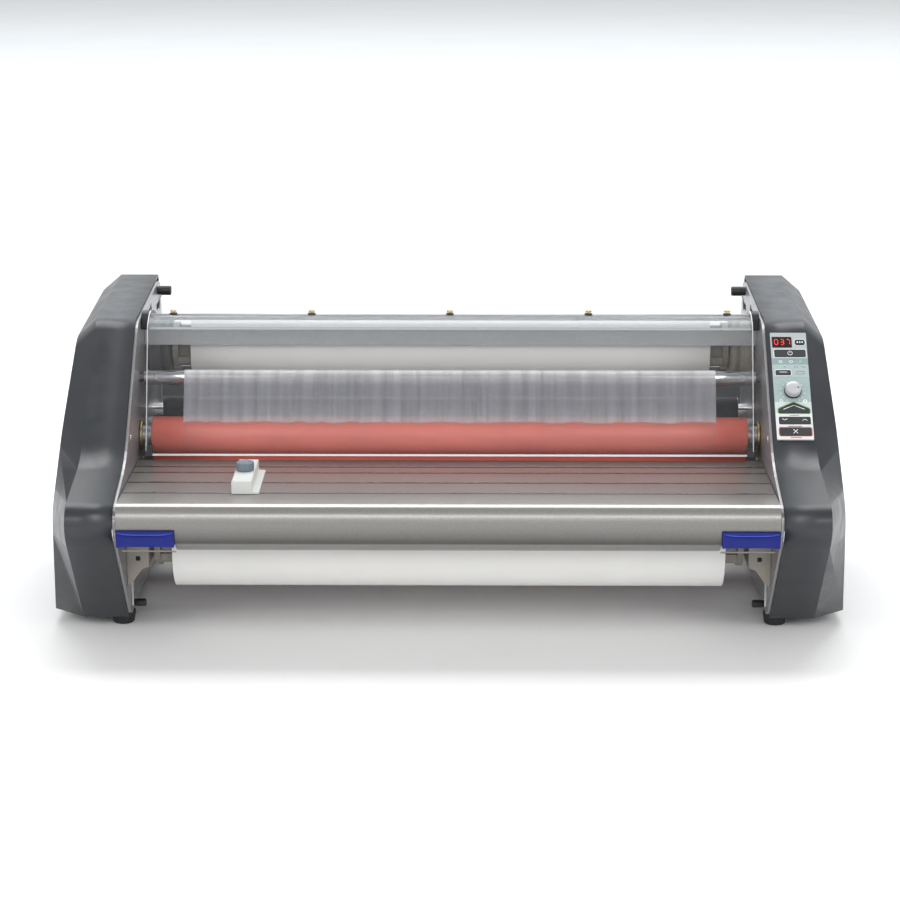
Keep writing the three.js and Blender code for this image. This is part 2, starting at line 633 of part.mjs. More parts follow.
const inletBody = block(276, 304, 252.3, 268, -112, -86);
const inletSocket = block(279, 301, 256, 270, -108, -90);
add('power_inlet', cut(inletBody, inletSocket), BLACK);

export default machine;
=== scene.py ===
"""Looks of the desktop roll laminator round its CAD frame, in metres, with the operator at -Y."""

import math

import bmesh
import bpy
from mathutils import Matrix, Vector, noise


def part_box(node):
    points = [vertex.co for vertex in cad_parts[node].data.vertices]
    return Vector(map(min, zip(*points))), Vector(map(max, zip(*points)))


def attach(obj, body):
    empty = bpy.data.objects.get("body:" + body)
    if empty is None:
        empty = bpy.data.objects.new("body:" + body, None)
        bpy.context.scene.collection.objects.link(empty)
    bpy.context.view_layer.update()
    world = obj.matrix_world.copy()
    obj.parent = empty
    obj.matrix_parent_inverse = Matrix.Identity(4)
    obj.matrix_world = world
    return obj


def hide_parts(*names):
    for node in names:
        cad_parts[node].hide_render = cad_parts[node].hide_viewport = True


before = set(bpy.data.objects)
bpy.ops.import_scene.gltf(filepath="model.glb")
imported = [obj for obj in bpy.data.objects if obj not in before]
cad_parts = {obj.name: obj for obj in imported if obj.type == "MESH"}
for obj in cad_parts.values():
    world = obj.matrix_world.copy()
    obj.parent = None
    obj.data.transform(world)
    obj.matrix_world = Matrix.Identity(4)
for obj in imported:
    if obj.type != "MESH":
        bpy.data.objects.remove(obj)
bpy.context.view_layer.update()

MM = 0.001


def centre(node):
    low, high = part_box(node)
    return Vector([(a + b) / 2 for a, b in zip(low, high)])


# The drawing origin lies 30 mm in front of the nip, where the heat rollers meet.
HEAT_UP, HEAT_LOW = centre("upper_heat_sleeve"), centre("lower_heat_sleeve")
HEAT_Y = 30
ORIGIN = (HEAT_UP + HEAT_LOW) / 2 - Vector((0, HEAT_Y * MM, 0))


def at(x, y, z):
    """A point in the frame's metres, from millimetres off the drawing origin."""
    return Vector((x * MM, ORIGIN.y + y * MM, ORIGIN.z + z * MM))


# ---- camera, light and floor

CAMERA_AT = at(24.5, -3002.2, 750.3)
PITCH = math.radians(13.82)
YAW = math.radians(0.456)
FOCAL_PX = 2600
IMAGE_PX = 900
SENSOR = 36


def make_camera():
    data = bpy.data.cameras.new("camera")
    data.sensor_width = SENSOR
    data.lens = FOCAL_PX / IMAGE_PX * SENSOR
    data.clip_end = 50
    camera = bpy.data.objects.new("camera", data)
    camera.location = CAMERA_AT
    camera.rotation_euler = (math.pi / 2 - PITCH, 0, YAW)
    bpy.context.collection.objects.link(camera)
    bpy.context.scene.camera = camera


def softbox(name, where, aim, size, power, tint=(1, 1, 1)):
    data = bpy.data.lights.new(name, "AREA")
    data.shape = "RECTANGLE"
    data.size, data.size_y = size
    data.energy = power
    data.color = tint
    light = bpy.data.objects.new(name, data)
    light.location = where
    light.rotation_euler = (Vector(aim) - Vector(where)).to_track_quat("-Z", "Y").to_euler()
    bpy.context.collection.objects.link(light)


def make_stage():
    """A pale floor under a sky that dims with height, and the softboxes."""
    bpy.ops.mesh.primitive_plane_add(size=24, location=(0, 5, -0.0005))
    floor = bpy.context.object
    floor.name = "studio_floor"
    floor.data.materials.append(floor_material())
    world = bpy.data.worlds.new("studio")
    world.use_nodes = True
    background = world.node_tree.nodes["Background"]
    background.inputs["Color"].default_value = (1, 1, 1, 1)
    nodes, links = world.node_tree.nodes, world.node_tree.links
    direction = nodes.new("ShaderNodeTexCoord")
    split = nodes.new("ShaderNodeSeparateXYZ")
    dimming = nodes.new("ShaderNodeMapRange")
    dimming.inputs["From Max"].default_value = 0.9
    dimming.inputs["To Min"].default_value = 1.0
    dimming.inputs["To Max"].default_value = 0.42
    links.new(direction.outputs["Generated"], split.inputs["Vector"])
    links.new(split.outputs["Z"], dimming.inputs["Value"])
    links.new(dimming.outputs["Result"], background.inputs["Strength"])
    bpy.context.scene.world = world
    softbox("top", (0, 0.95, 2.5), (0, 0.15, 0), (2.8, 1.5), 60)
    softbox("backdrop", (0, 5.6, 3.0), (0, 5.6, 0), (10, 5.5), 185, (0.84, 0.93, 1.0))
    softbox("front_left", (-2.2, -1.9, 1.5), (0, 0, 0.15), (1.2, 1.5), 24)
    softbox("front_right", (2.2, -1.9, 1.5), (0, 0, 0.15), (1.2, 1.5), 24)
    softbox("front", (0, -3.4, 1.6), (0, 0.1, 0.2), (2.2, 0.7), 20)
    bpy.context.scene.view_settings.view_transform = "Standard"


# ---- materials

# The colour sockets of a Mix node share their names with its others, so they go by number.
MIX_A, MIX_B, MIX_RESULT = 6, 7, 2


class Look:
    """A node material round one Principled shader, with short helpers for its detail."""

    def __init__(self, name, color, roughness, metallic=0.0, **plain):
        self.material = bpy.data.materials.new(name)
        self.material.use_nodes = True
        self.tree = self.material.node_tree
        self.shader = self.tree.nodes["Principled BSDF"]
        self.color = (*color, 1)
        self.shader.inputs["Base Color"].default_value = self.color
        self.shader.inputs["Roughness"].default_value = roughness
        self.shader.inputs["Metallic"].default_value = metallic
        self.roughness = roughness
        for key, value in plain.items():
            self.shader.inputs[key.replace("_", " ")].default_value = value

    def node(self, kind, **inputs):
        made = self.tree.nodes.new(kind)
        for key, value in inputs.items():
            made.inputs[key.replace("_", " ")].default_value = value
        return made

    def link(self, source, target):
        self.tree.links.new(source, target)

    def place(self, scale=(1, 1, 1)):
        coordinates = self.node("ShaderNodeTexCoord")
        mapping = self.node("ShaderNodeMapping", Scale=scale)
        self.link(coordinates.outputs["Object"], mapping.inputs["Vector"])
        return mapping.outputs["Vector"]

    def noise(self, scale, stretch=(1, 1, 1), detail=3.0):
        texture = self.node("ShaderNodeTexNoise", Scale=scale, Detail=detail, Roughness=0.55)
        self.link(self.place(stretch), texture.inputs["Vector"])
        return texture.outputs["Fac"]

    def ramp(self, source, low, high, from_low=0.35, from_high=0.65):
        """Maps the middle of a pattern's range, or another range, onto two values."""
        made = self.node("ShaderNodeMapRange", From_Min=from_low, From_Max=from_high, To_Min=low, To_Max=high)
        self.link(source, made.inputs["Value"])
        return made.outputs["Result"]

    def mix(self, blend):
        made = self.node("ShaderNodeMix")
        made.data_type = "RGBA"
        made.blend_type = blend
        return made

    def tone(self, source, amount):
        """Base colour that wanders by a share of itself, lighter and darker, with a pattern."""
        mix = self.mix("MIX")
        dark = [c * (1 - amount) for c in self.color[:3]]
        light = [min(1, c * (1 + amount)) for c in self.color[:3]]
        mix.inputs[MIX_A].default_value = (*dark, 1)
        mix.inputs[MIX_B].default_value = (*light, 1)
        self.link(self.ramp(source, 0, 1), mix.inputs["Factor"])
        self.link(mix.outputs[MIX_RESULT], self.shader.inputs["Base Color"])
        return self

    def along(self, direction, origin):
        """Millimetres from a point along a direction."""
        dot = self.node("ShaderNodeVectorMath")
        dot.operation = "DOT_PRODUCT"
        dot.inputs[1].default_value = direction
        self.link(self.place(), dot.inputs[0])
        start = origin.dot(Vector(direction))
        return self.ramp(dot.outputs["Value"], -1000, 1000, start - 1, start + 1)

    def bands(self, distance, stops, target="Base Color", hold=False):
        """A colour, or a plain value, that changes along a distance: (millimetres, colour) pairs."""
        low, high = stops[0][0], stops[-1][0]
        table = self.node("ShaderNodeValToRGB")
        ramp = table.color_ramp
        ramp.interpolation = "CONSTANT" if hold else "LINEAR"
        ramp.elements.remove(ramp.elements[-1])
        for i, (place, color) in enumerate(stops):
            share = (place - low) / (high - low)
            element = ramp.elements.new(share) if i else ramp.elements[0]
            element.position = share
            element.color = (*color, 1) if isinstance(color, tuple) else (color, color, color, 1)
        self.link(self.ramp(distance, 0, 1, low, high), table.inputs["Fac"])
        self.link(table.outputs["Color"], self.shader.inputs[target])
        return self

    def shade(self, source, amount):
        """Darkens and lightens the linked base colour with a pattern."""
        mix = self.mix("MULTIPLY")
        mix.inputs["Factor"].default_value = 1.0
        color = self.shader.inputs["Base Color"].links[0].from_socket
        self.link(color, mix.inputs[MIX_A])
        self.link(self.ramp(source, 1 - amount, 1 + amount), mix.inputs[MIX_B])
        self.link(mix.outputs[MIX_RESULT], self.shader.inputs["Base Color"])
        return self

    def rough(self, source, spread):
        value = self.ramp(source, max(0.02, self.roughness - spread), self.roughness + spread)
        self.link(value, self.shader.inputs["Roughness"])
        return self

    def bump(self, source, depth, strength=1.0):
        made = self.node("ShaderNodeBump", Distance=depth, Strength=strength)
        self.link(source, made.inputs["Height"])
        self.link(made.outputs["Normal"], self.shader.inputs["Normal"])
        return self


def moulded(name, color, roughness, grain=2600, depth=0.00004, **plain):
    """Injection-moulded plastic: fine spark texture, and a faint drift of gloss and tone."""
    look = Look(name, color, roughness, **plain)
    look.tone(look.noise(14), 0.05)
    look.rough(look.noise(45, detail=4), 0.05)
    return look.bump(look.noise(grain, detail=2), depth, 0.5).material


def brushed(name, color, roughness, direction, amount=0.08, metallic=0.85):
    """Metal with a directional grain: small scale along one axis draws it out along that axis."""
    look = Look(name, color, roughness, metallic)
    look.tone(look.noise(900, direction, detail=4), amount)
    look.rough(look.noise(520, direction, detail=3), 0.08)
    return look.bump(look.noise(1200, direction, detail=2), 0.00003, 0.4).material


def flecked(name, color, roughness, metallic, fleck):
    """Metallic lacquer: tiny bright and dark flakes under a satin coat."""
    look = Look(name, color, roughness, metallic)
    flakes = look.node("ShaderNodeTexVoronoi", Scale=1500.0)
    look.link(look.place(), flakes.inputs["Vector"])
    separate = look.node("ShaderNodeSeparateColor")
    look.link(flakes.outputs["Color"], separate.inputs["Color"])
    look.tone(separate.outputs["Red"], fleck)
    look.rough(look.noise(60, detail=5), 0.06)
    return look.bump(separate.outputs["Green"], 0.00002, 0.25).material


def rubber(name, color, roughness):
    """Ground rubber: turned rings across the axis and a dusty bloom."""
    look = Look(name, color, roughness)
    look.tone(look.noise(18, (0.35, 1, 1), detail=5), 0.10)
    look.rough(look.noise(120, (3, 1, 1)), 0.08)
    return look.bump(look.noise(1500, (1, 0.08, 0.08), detail=2), 0.00005, 0.5).material


def wound_film(name, color):
    """Matt film wound tight: faint tension bands round the roll, and a soft sheen."""
    look = Look(name, color, 0.42)
    look.tone(look.noise(7, (1, 0.02, 0.02), detail=2), 0.02)
    look.rough(look.noise(40, (1, 0.1, 0.1)), 0.05)
    return look.bump(look.noise(40, (1, 0.04, 0.04), detail=2), 0.00002, 0.3).material


def matt_web(name):
    """Loose matt film: milky while it hangs free, and nearly clear where it melts on the hot roller; its
    colour carries painted shade and light by height, and painted streaks of sheen.
    """
    look = Look(name, (0.3, 0.3, 0.32), 0.34)
    height = look.along((0, 0, 1), ORIGIN)
    edge = look.node("ShaderNodeMath")
    look.link(height, edge.inputs[0])
    look.link(look.ramp(look.noise(70, (1, 0.02, 0.02), detail=2), -0.9, 0.9), edge.inputs[1])
    clearing = [(0, 0.06), (41, 0.08), (43.5, 0.62), (84, 0.60), (90, 0.74), (100, 0.8)]
    look.bands(edge.outputs["Value"], clearing, "Alpha")
    # Painted shade and light: the colour darkens where the film hangs between idler and roller, and lightens
    # where it wraps over the idler and the roller.
    look.bands(height, [(0, (0.5, 0.46, 0.47)), (42, (0.44, 0.42, 0.44)), (52, (0.33, 0.32, 0.35)),
                        (66, (0.25, 0.25, 0.28)), (84, (0.27, 0.27, 0.30)), (93, (0.36, 0.36, 0.38)),
                        (98, (0.56, 0.56, 0.57)), (110, (0.6, 0.6, 0.6))])
    # Painted sheen: lengthwise streaks of lighter and darker colour stand in for the light on the ripples.
    look.shade(look.noise(85, (1, 0.05, 0.05), detail=2), 0.16)
    look.rough(look.noise(60, (1, 0.1, 0.1)), 0.08)
    return look.bump(look.noise(85, (1, 0.04, 0.04), detail=2), 0.0009, 0.5).material


def satin_table(name):
    """Pewter lacquer on the table sheet, with painted shade that darkens it where it turns under the nose,
    and a painted highlight line near the nose's lower edge.
    """
    look = Look(name, (0.33, 0.32, 0.30), 0.31, 0.72)
    height = look.along((0, 0, 1), ORIGIN)
    # Painted shade: the colour darkens down the nose; the lighter stop near its lower edge is a painted
    # highlight line.
    look.bands(height, [(-62, (0.24, 0.236, 0.225)), (-45.5, (0.30, 0.295, 0.285)),
                        (-43.5, (0.125, 0.122, 0.115)), (-32, (0.165, 0.162, 0.155)),
                        (-20, (0.24, 0.236, 0.226)), (-8, (0.31, 0.306, 0.292)),
                        (-1, (0.33, 0.32, 0.305)), (2, (0.325, 0.305, 0.288))])
    look.shade(look.noise(420, detail=3), 0.05)
    look.rough(look.noise(9, (0.3, 1, 1), detail=3), 0.03)
    return look.bump(look.noise(600, detail=2), 0.00001, 0.12).material


def glow(name, color, strength):
    """A lit segment or lamp behind its window."""
    look = Look(name, color, 0.4, Emission_Strength=strength)
    look.shader.inputs["Emission Color"].default_value = (*color, 1)
    return look.tone(look.noise(700), 0.12).material


def clear_sheet(name, alpha, roughness, tint, bend=0.0):
    """Clear bent sheet with faint smears in its gloss; along its bend it is made denser to look through, as a
    painted reflection of the glare there.
    """
    look = Look(name, tint, roughness, Alpha=alpha, IOR=1.45)
    if bend:
        # Painted reflection: a denser band of the tint along the bend.
        stops = [(0, alpha), (146, alpha), (151, bend), (158, bend), (161.5, alpha), (170, alpha)]
        look.bands(look.along((0, 0, 1), ORIGIN), stops, "Alpha")
    look.rough(look.noise(22, (0.4, 1, 1), detail=6), 0.03)
    return look.bump(look.noise(9, (0.5, 1, 1)), 0.0006, 0.25).material


def printed(name, color, roughness=0.45):
    """Screen print, or a smooth film or board."""
    look = Look(name, color, roughness)
    look.tone(look.noise(300, detail=2), 0.03)
    return look.bump(look.noise(2600), 0.00001, 0.3).material


def floor_material():
    look = Look("floor_paper", (0.93, 0.93, 0.93), 0.75)
    look.tone(look.noise(3), 0.01)
    return look.bump(look.noise(600), 0.0001, 0.15).material


M = {
    "cover": moulded("cover_charcoal", (0.026, 0.029, 0.034), 0.33, 1300, 0.00001),
    "zinc": brushed("zinc_plate", (0.31, 0.31, 0.32), 0.36, (1, 0.05, 1), metallic=0.6),
    "grey_steel": flecked("grey_powder", (0.30, 0.31, 0.32), 0.42, 0.5, 0.10),
    "bright": brushed("ground_steel", (0.62, 0.62, 0.63), 0.16, (1, 0.06, 0.06), 0.05, 1.0),
    "table": satin_table("table_pewter"),
    "blue": moulded("latch_blue", (0.009, 0.017, 0.17), 0.5, Specular_IOR_Level=0.2),
    # Lighter, glossier blue for the rail along the latch ledge: a painted highlight.
    "blue_ledge_highlight": moulded("latch_ledge_highlight_blue", (0.03, 0.055, 0.42), 0.35),
    "black": moulded("black_plastic", (0.013, 0.013, 0.015), 0.45),
    "foot": rubber("foot_rubber", (0.016, 0.016, 0.017), 0.72),
    "silicone": rubber("red_silicone", (0.62, 0.135, 0.10), 0.46),
    "pull": rubber("grey_rubber", (0.065, 0.065, 0.068), 0.6),
    "brass": brushed("bronze_bush", (0.45, 0.34, 0.17), 0.33, (1, 0.1, 0.1), 0.1, 0.95),
    "film_roll": wound_film("wound_film", (0.78, 0.775, 0.755)),
    "web": matt_web("matt_web"),
    # The clear sheet's denser band along its bend is a painted reflection.
    "clear": clear_sheet("shield_clear", 0.03, 0.07, (0.32, 0.355, 0.37), 0.34),
    # A pale, denser clear: painted highlight for the sheet's cut edges.
    "edge": clear_sheet("shield_edge_highlight", 0.62, 0.12, (0.86, 0.90, 0.92)),
    "beige": flecked("beige_paint", (0.26, 0.24, 0.205), 0.42, 0.15, 0.06),
    "guide": moulded("guide_white", (0.60, 0.62, 0.60), 0.42),
    "slate": moulded("clamp_slate", (0.155, 0.19, 0.23), 0.45),
    "panel_white": printed("panel_white", (0.68, 0.70, 0.70)),
    "ink": printed("print_grey", (0.14, 0.16, 0.165)),
    "ink_white": printed("print_white", (0.80, 0.82, 0.82)),
    "ink_green": printed("print_green", (0.16, 0.40, 0.10)),
    "ink_red": printed("print_red", (0.62, 0.02, 0.03)),
    "button": moulded("button_dark", (0.024, 0.028, 0.03), 0.42),
    "knob": moulded("knob_pearl", (0.44, 0.45, 0.465), 0.24, Coat_Weight=0.2),
    "window": printed("display_glass", (0.006, 0.002, 0.002), 0.3),
    "digit": glow("digit_red", (0.95, 0.02, 0.02), 0.9),
    "led": glow("led_green", (0.04, 0.50, 0.10), 0.6),
    "nylon": moulded("gear_nylon", (0.76, 0.72, 0.60), 0.45),
    "board": printed("board_green", (0.03, 0.20, 0.08), 0.35),
    # Black for the knob's skirt and pointer; on slots, holes, vents and table seams it is painted shade.
    "slot_dark": moulded("black_and_slot_shade", (0.008, 0.008, 0.009), 0.7),
    "core": moulded("card_core", (0.36, 0.27, 0.19), 0.7),
    "hub_dark": moulded("hub_dark_grey", (0.075, 0.075, 0.078), 0.5),
}


# ---- mesh helpers

def finish_piece(obj, look, body, nodes=()):
    """Gives a piece its material, body and material slot, and hides the CAD nodes that it stands for."""
    if look:
        obj.data.materials.append(M[look])
    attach(obj, body)
    if nodes:
        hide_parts(*([nodes] if isinstance(nodes, str) else nodes))
    return obj


def make_mesh(name, points, faces, smooth=True, closed=True):
    mesh = bpy.data.meshes.new(name)
    mesh.from_pydata([tuple(p) for p in points], [], faces)
    if closed:
        work = bmesh.new()
        work.from_mesh(mesh)
        bmesh.ops.recalc_face_normals(work, faces=work.faces)
        work.to_mesh(mesh)
        work.free()
    for face in mesh.polygons:
        face.use_smooth = smooth
    mesh.update()
    obj = bpy.data.objects.new(name, mesh)
    bpy.context.collection.objects.link(obj)
    return obj


def bevel(obj, width, segments=3, angle=35, limit="ANGLE"):
    made = obj.modifiers.new("bevel", "BEVEL")
    made.width = width * MM
    made.segments = segments
    made.limit_method = limit
    made.angle_limit = math.radians(angle)
    made.harden_normals = True
    return obj


def eased(start, corner, end, steps):
    """A short curve from start to end that leans towards a corner."""
    shares = [k / steps for k in range(steps + 1)]
    return [start * (1 - t) ** 2 + corner * 2 * t * (1 - t) + end * t * t for t in shares]


def soften(corners, radii, steps=8):
    """Rounds each corner of a closed loop of vectors with a short curve of its own radius."""
    corners = [Vector(c) for c in corners]
    rounded = []
    for i, corner in enumerate(corners):
        before, after = corners[i - 1], corners[(i + 1) % len(corners)]
        radius = radii[i] if isinstance(radii, (list, tuple)) else radii
        to_before, to_after = (before - corner), (after - corner)
        start = corner + to_before.normalized() * min(radius, to_before.length * 0.45)
        end = corner + to_after.normalized() * min(radius, to_after.length * 0.45)
        rounded += eased(start, corner, end, steps)
    return rounded


def mitre(before, after):
    """The step sideways at a corner for one unit of offset, from the directions before and after it."""
    a, b = before.normalized(), after.normalized()
    middle = Vector((-a.y - b.y, a.x + b.x))
    return middle * (2 / middle.length_squared)


def inset(points, distance):
    """Moves each side of a closed outline inwards by a distance."""
    points = [Vector(p) for p in points]
    area = sum(a.x * b.y - b.x * a.y for a, b in zip(points, points[1:] + points[:1]))
    turn = 1 if area > 0 else -1
    moved = []
    for i, point in enumerate(points):
        sideways = mitre(point - points[i - 1], points[(i + 1) % len(points)] - point)
        moved.append(point + sideways * (turn * distance))
    return moved


def curve_through(points, per_span):
    """A smooth path through a few points."""
    points = [Vector(p) for p in points]
    padded = [points[0] * 2 - points[1], *points, points[-1] * 2 - points[-2]]
    path = []
    for a, b, c, d in zip(padded, padded[1:], padded[2:], padded[3:]):
        for k in range(per_span):
            t = k / per_span
            path.append(0.5 * ((2 * b) + (c - a) * t + (2 * a - 5 * b + 4 * c - d) * t * t
                               + (3 * b - a - 3 * c + d) * t ** 3))
    path.append(points[-1])
    return path


def prism_faces(count):
    """Two end faces, and the sides between two matched outlines."""
    faces = [list(range(count))[::-1], list(range(count, 2 * count))]
    return faces + [[i, (i + 1) % count, count + (i + 1) % count, count + i] for i in range(count)]


def ring_faces(rings, sides):
    """The quads between closed rings of points."""
    faces = []
    for first in range(0, (rings - 1) * sides, sides):
        for i in range(sides):
            j = (i + 1) % sides
            faces.append([first + i, first + j, first + sides + j, first + sides + i])
    return faces


def end_faces(rings, sides):
    """The caps on the first and last rings."""
    last = (rings - 1) * sides
    return [list(range(sides))[::-1], list(range(last, last + sides))]


def grid_faces(rows, width, start=0):
    """The quads of a sheet of points laid out row by row."""
    corners = [start + row * width + i for row in range(rows - 1) for i in range(width - 1)]
    return [[a, a + 1, a + 1 + width, a + width] for a in corners]


def prism_x(name, outline, from_x, to_x, look, body, nodes=(), width=0.6):
    """An outline in Y-Z, grown along X between two values in either order, with softened edges."""
    points = [at(x, p[0], p[1]) for x in sorted((from_x, to_x)) for p in outline]
    obj = make_mesh(name, points, prism_faces(len(outline)))
    bevel(obj, width, 3, 28)
    return finish_piece(obj, look, body, nodes)


def spun(name, steps, axis, look, body, nodes=(), sides=96, width=0.5):
    """A turned piece from [x, radius] pairs, round an axis along X at (y, z)."""
    y, z = axis
    points = []
    for x, radius in steps:
        for i in range(sides):
            turn = 2 * math.pi * i / sides
            points.append(at(x, y + radius * math.cos(turn), z + radius * math.sin(turn)))
    faces = ring_faces(len(steps), sides)
    if steps[0] != steps[-1]:
        faces += end_faces(len(steps), sides)
    else:
        last = (len(steps) - 1) * sides
        points = points[:last]
        faces = [[k % last for k in face] for face in faces]
    obj = make_mesh(name, points, faces)
    if width:
        bevel(obj, width, 3, 28)
    return finish_piece(obj, look, body, nodes)


def turned(name, steps, place, sides, reach=lambda h, radius, i: radius):
    """A turned mesh from [height, radius] pairs; place makes its points, and reach shapes its rim."""
    points = []
    for h, radius in steps:
        for i in range(sides):
            turn = 2 * math.pi * i / sides
            out = reach(h, radius, i)
            points.append(place(out * math.cos(turn), out * math.sin(turn), h))
    return make_mesh(name, points, ring_faces(len(steps), sides) + end_faces(len(steps), sides))


def prism(name, outline, from_h, to_h, matrix, look, body, nodes=(), width=0.3):
    """An outline in a local plane, grown along its normal."""
    points = [matrix @ Vector((p[0] * MM, p[1] * MM, h * MM)) for h in (from_h, to_h) for p in outline]
    obj = make_mesh(name, points, prism_faces(len(outline)))
    if width:
        bevel(obj, width, 3, 40)
    return finish_piece(obj, look, body, nodes)


def rim(name, outer, inner, from_h, to_h, matrix, look, body):
    """A flat band between two matched outlines in a local plane."""
    count = len(outer)
    points = [matrix @ Vector((p[0] * MM, p[1] * MM, h * MM))
              for loop, h in ((outer, from_h), (inner, from_h), (inner, to_h), (outer, to_h)) for p in loop]
    faces = [[k % len(points) for k in face] for face in ring_faces(5, count)]
    return finish_piece(make_mesh(name, points, faces, smooth=False), look, body, ())


def circle(radius, x=0.0, y=0.0, sides=24):
    turns = [2 * math.pi * i / sides for i in range(sides)]
    return [(x + radius * math.cos(turn), y + radius * math.sin(turn)) for turn in turns]


def rounded_rect(width, height, radius, steps=5):
    x, y = width / 2, height / 2
    return soften(((-x, -y), (x, -y), (x, y), (-x, y)), radius, steps)


def shift(outline, x, y):
    return [(p[0] + x, p[1] + y) for p in outline]


def dark_opening(name, outline, depth, height, plane):
    """Painted shade for a slot or hole: a thin black piece on the face that it opens in."""
    prism(name, outline, -depth, height, plane, "slot_dark", "frame", width=0)


def side_matrix(x, y, z, sign):
    """A local plane on the inner or outer side of a plate: its normal points along sign times X."""
    return Matrix.Translation(at(x, y, z)) @ Matrix.Rotation(sign * math.pi / 2, 4, "Y")


def screw(name, matrix, radius, look, body, height=1.8):
    """A pan-head screw: a domed head with a cross recess pressed into it."""
    sides, rows = 32, 6
    points = []
    for row in range(rows + 1):
        t = row / rows
        reach = radius * math.cos(t * math.pi / 2 * 0.92)
        for i in range(sides):
            turn = 2 * math.pi * i / sides
            x, y = reach * math.cos(turn), reach * math.sin(turn)
            h = height * math.sin(t * math.pi / 2)
            if min(abs(x), abs(y)) < radius * 0.12 and max(abs(x), abs(y)) < radius * 0.62:
                h -= height * 0.55
            points.append(matrix @ Vector((x * MM, y * MM, h * MM)))
    faces = ring_faces(rows + 1, sides) + end_faces(rows + 1, sides)
    return finish_piece(make_mesh(name, points, faces), look, body)


def repaint(look, *nodes, width=0.0):
    """A CAD node that keeps its shape takes its finished material, and small bevels."""
    for node in nodes:
        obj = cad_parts[node]
        obj.data.materials.clear()
        obj.data.materials.append(M[look])
        if width:
            bevel(obj, width, 2, 30)


SIDES = (("left", -1), ("right", 1))


# ---- side covers

# Corners of the front outline and of the leaning side face as (y, z), and the crease's X at each.
COVER_FRONT = [(278, -166), (278, 175.9), (35, 161), (-104, 24), (-214, -4), (-221, -34), (-97, -166)]
COVER_SIDE = [(275, -163), (275, 157), (36, 140), (-64, 52), (-117, -20), (-123, -38), (-74, -163)]
CREASE_X = [427, 421, 421, 424, 427, 427, 427]
COVER_RADII = [0.5, 10, 14, 24, 16, 26, 0.5]
MOUTH_X = 374.3
WALL = 3.0
SIDE_LEAN, SIDE_TILT = 0.0627, 0.0626   # the side face's lean per millimetre of height, and as an angle


def side_face_x(z):
    return 453.2 - SIDE_LEAN * z


def side_cover(side, sign):
    mouth = [(MOUTH_X, *p) for p in COVER_FRONT]
    crease = [(x, *p) for x, p in zip(CREASE_X, COVER_FRONT)]
    face = [(side_face_x(p[1]), *p) for p in COVER_SIDE]
    rings = [soften(ring, COVER_RADII, 12) for ring in (mouth, crease, face)]
    count = len(rings[0])
    points = [at(sign * p.x, p.y, p.z) for ring in rings for p in ring]
    faces = grid_faces(3, count) + [[2 * count + i for i in range(count)]]
    if sign < 0:
        faces = [face[::-1] for face in faces]
    obj = make_mesh(f"cover_shell_{side}", points, faces, closed=False)
    weights = obj.data.attributes.new("bevel_weight_edge", "FLOAT", "EDGE")
    for edge in obj.data.edges:
        a, b = sorted(edge.vertices)
        if a // count == b // count and a // count in (1, 2) and b - a in (1, count - 1):
            weights.data[edge.index].value = 1.0 if a // count == 1 else 0.8
    skin = obj.modifiers.new("wall", "SOLIDIFY")
    skin.thickness = WALL * MM
    skin.offset = -1
    bevel(obj, 2.2, 4, limit="WEIGHT")
    return finish_piece(obj, "cover", "frame", f"side_cover_{side}")


# ---- side plates and their small parts

PLATE_X = 370.7
FLOOR_Z = -178

def plate_details(side, sign):
    """Keyhole slots in painted shade, screws, and the folded front edge in bright steel as a painted
    highlight, on the inner side of a plate.
    """
    keyhole = soften(((-4, -16), (4, -16), (4, 6), (9, 12), (0, 20), (-9, 12), (-4, 6)), 3, 4)
    for name, y, z in (("upper", 151, 128), ("rear", 236, 120)):
        plane = side_matrix(sign * 370.95, y, z + 22, -sign)
        # Painted shade: a dark piece in each keyhole slot.
        dark_opening(f"keyhole_{name}_{side}", keyhole, 0.3, 0.12, plane)
    for i, (y, z) in enumerate(((262, 150), (262, -20), (258, -130), (110, 145), (-60, 40), (-150, -20))):
        screw(f"plate_screw_{i}_{side}", side_matrix(sign * 370.9, y, z, -sign), 4.2, "bright", "frame")
    # The folded front edge in bright steel: a painted highlight along the real fold.
    fold = [(-100, -72), (-98, -72), (-96.4, -152), (-98.4, -152)]
    prism_x(f"plate_fold_highlight_{side}", fold, sign * 367.8, sign * PLATE_X, "bright", "frame", width=0.5)


def peg(node, sign, y, z, radius, from_x):
    """A turned stop peg that stands inwards from a side plate."""
    tip, root, step = sign * from_x, sign * 370.6, sign * 1.2
    waist = radius * 0.93
    steps = [(tip, radius * 0.82), (tip + step, radius), (root - step * 4, radius),
             (root - step * 3.4, waist), (root, waist)]
    spun(node + "_turned", steps, (y, z), "black", "frame", node, 48, 0.3)


def foot(node, x, y):
    """A rubber foot, fluted round its flank."""
    def flutes(h, radius, i):
        return radius - (0.35 if i % 4 == 0 and 1 < h < 11 else 0)

    steps = [(0.0, 11.2), (1.2, 12.4), (9.5, 13.6), (11.2, 13.9), (14.7, 13.9)]
    obj = turned(node + "_moulded", steps, lambda u, v, h: at(x + u, y + v, FLOOR_Z + h), 64, flutes)
    finish_piece(bevel(obj, 0.5, 2, 40), "foot", "frame", node)


# ---- rollers and film

HEAT_Z, HEAT_R = 22.5, 22.2
PULL_Y, PULL_Z = (centre("upper_pull_roller").y - ORIGIN.y) / MM, 19.5
SUPPLY, LOWER_SUPPLY = (151, 108), (-82, -76)
IDLER, LOWER_IDLER, IDLER_R = (43, 90), (-2, -66), 9
WEB_HALF = 317.5


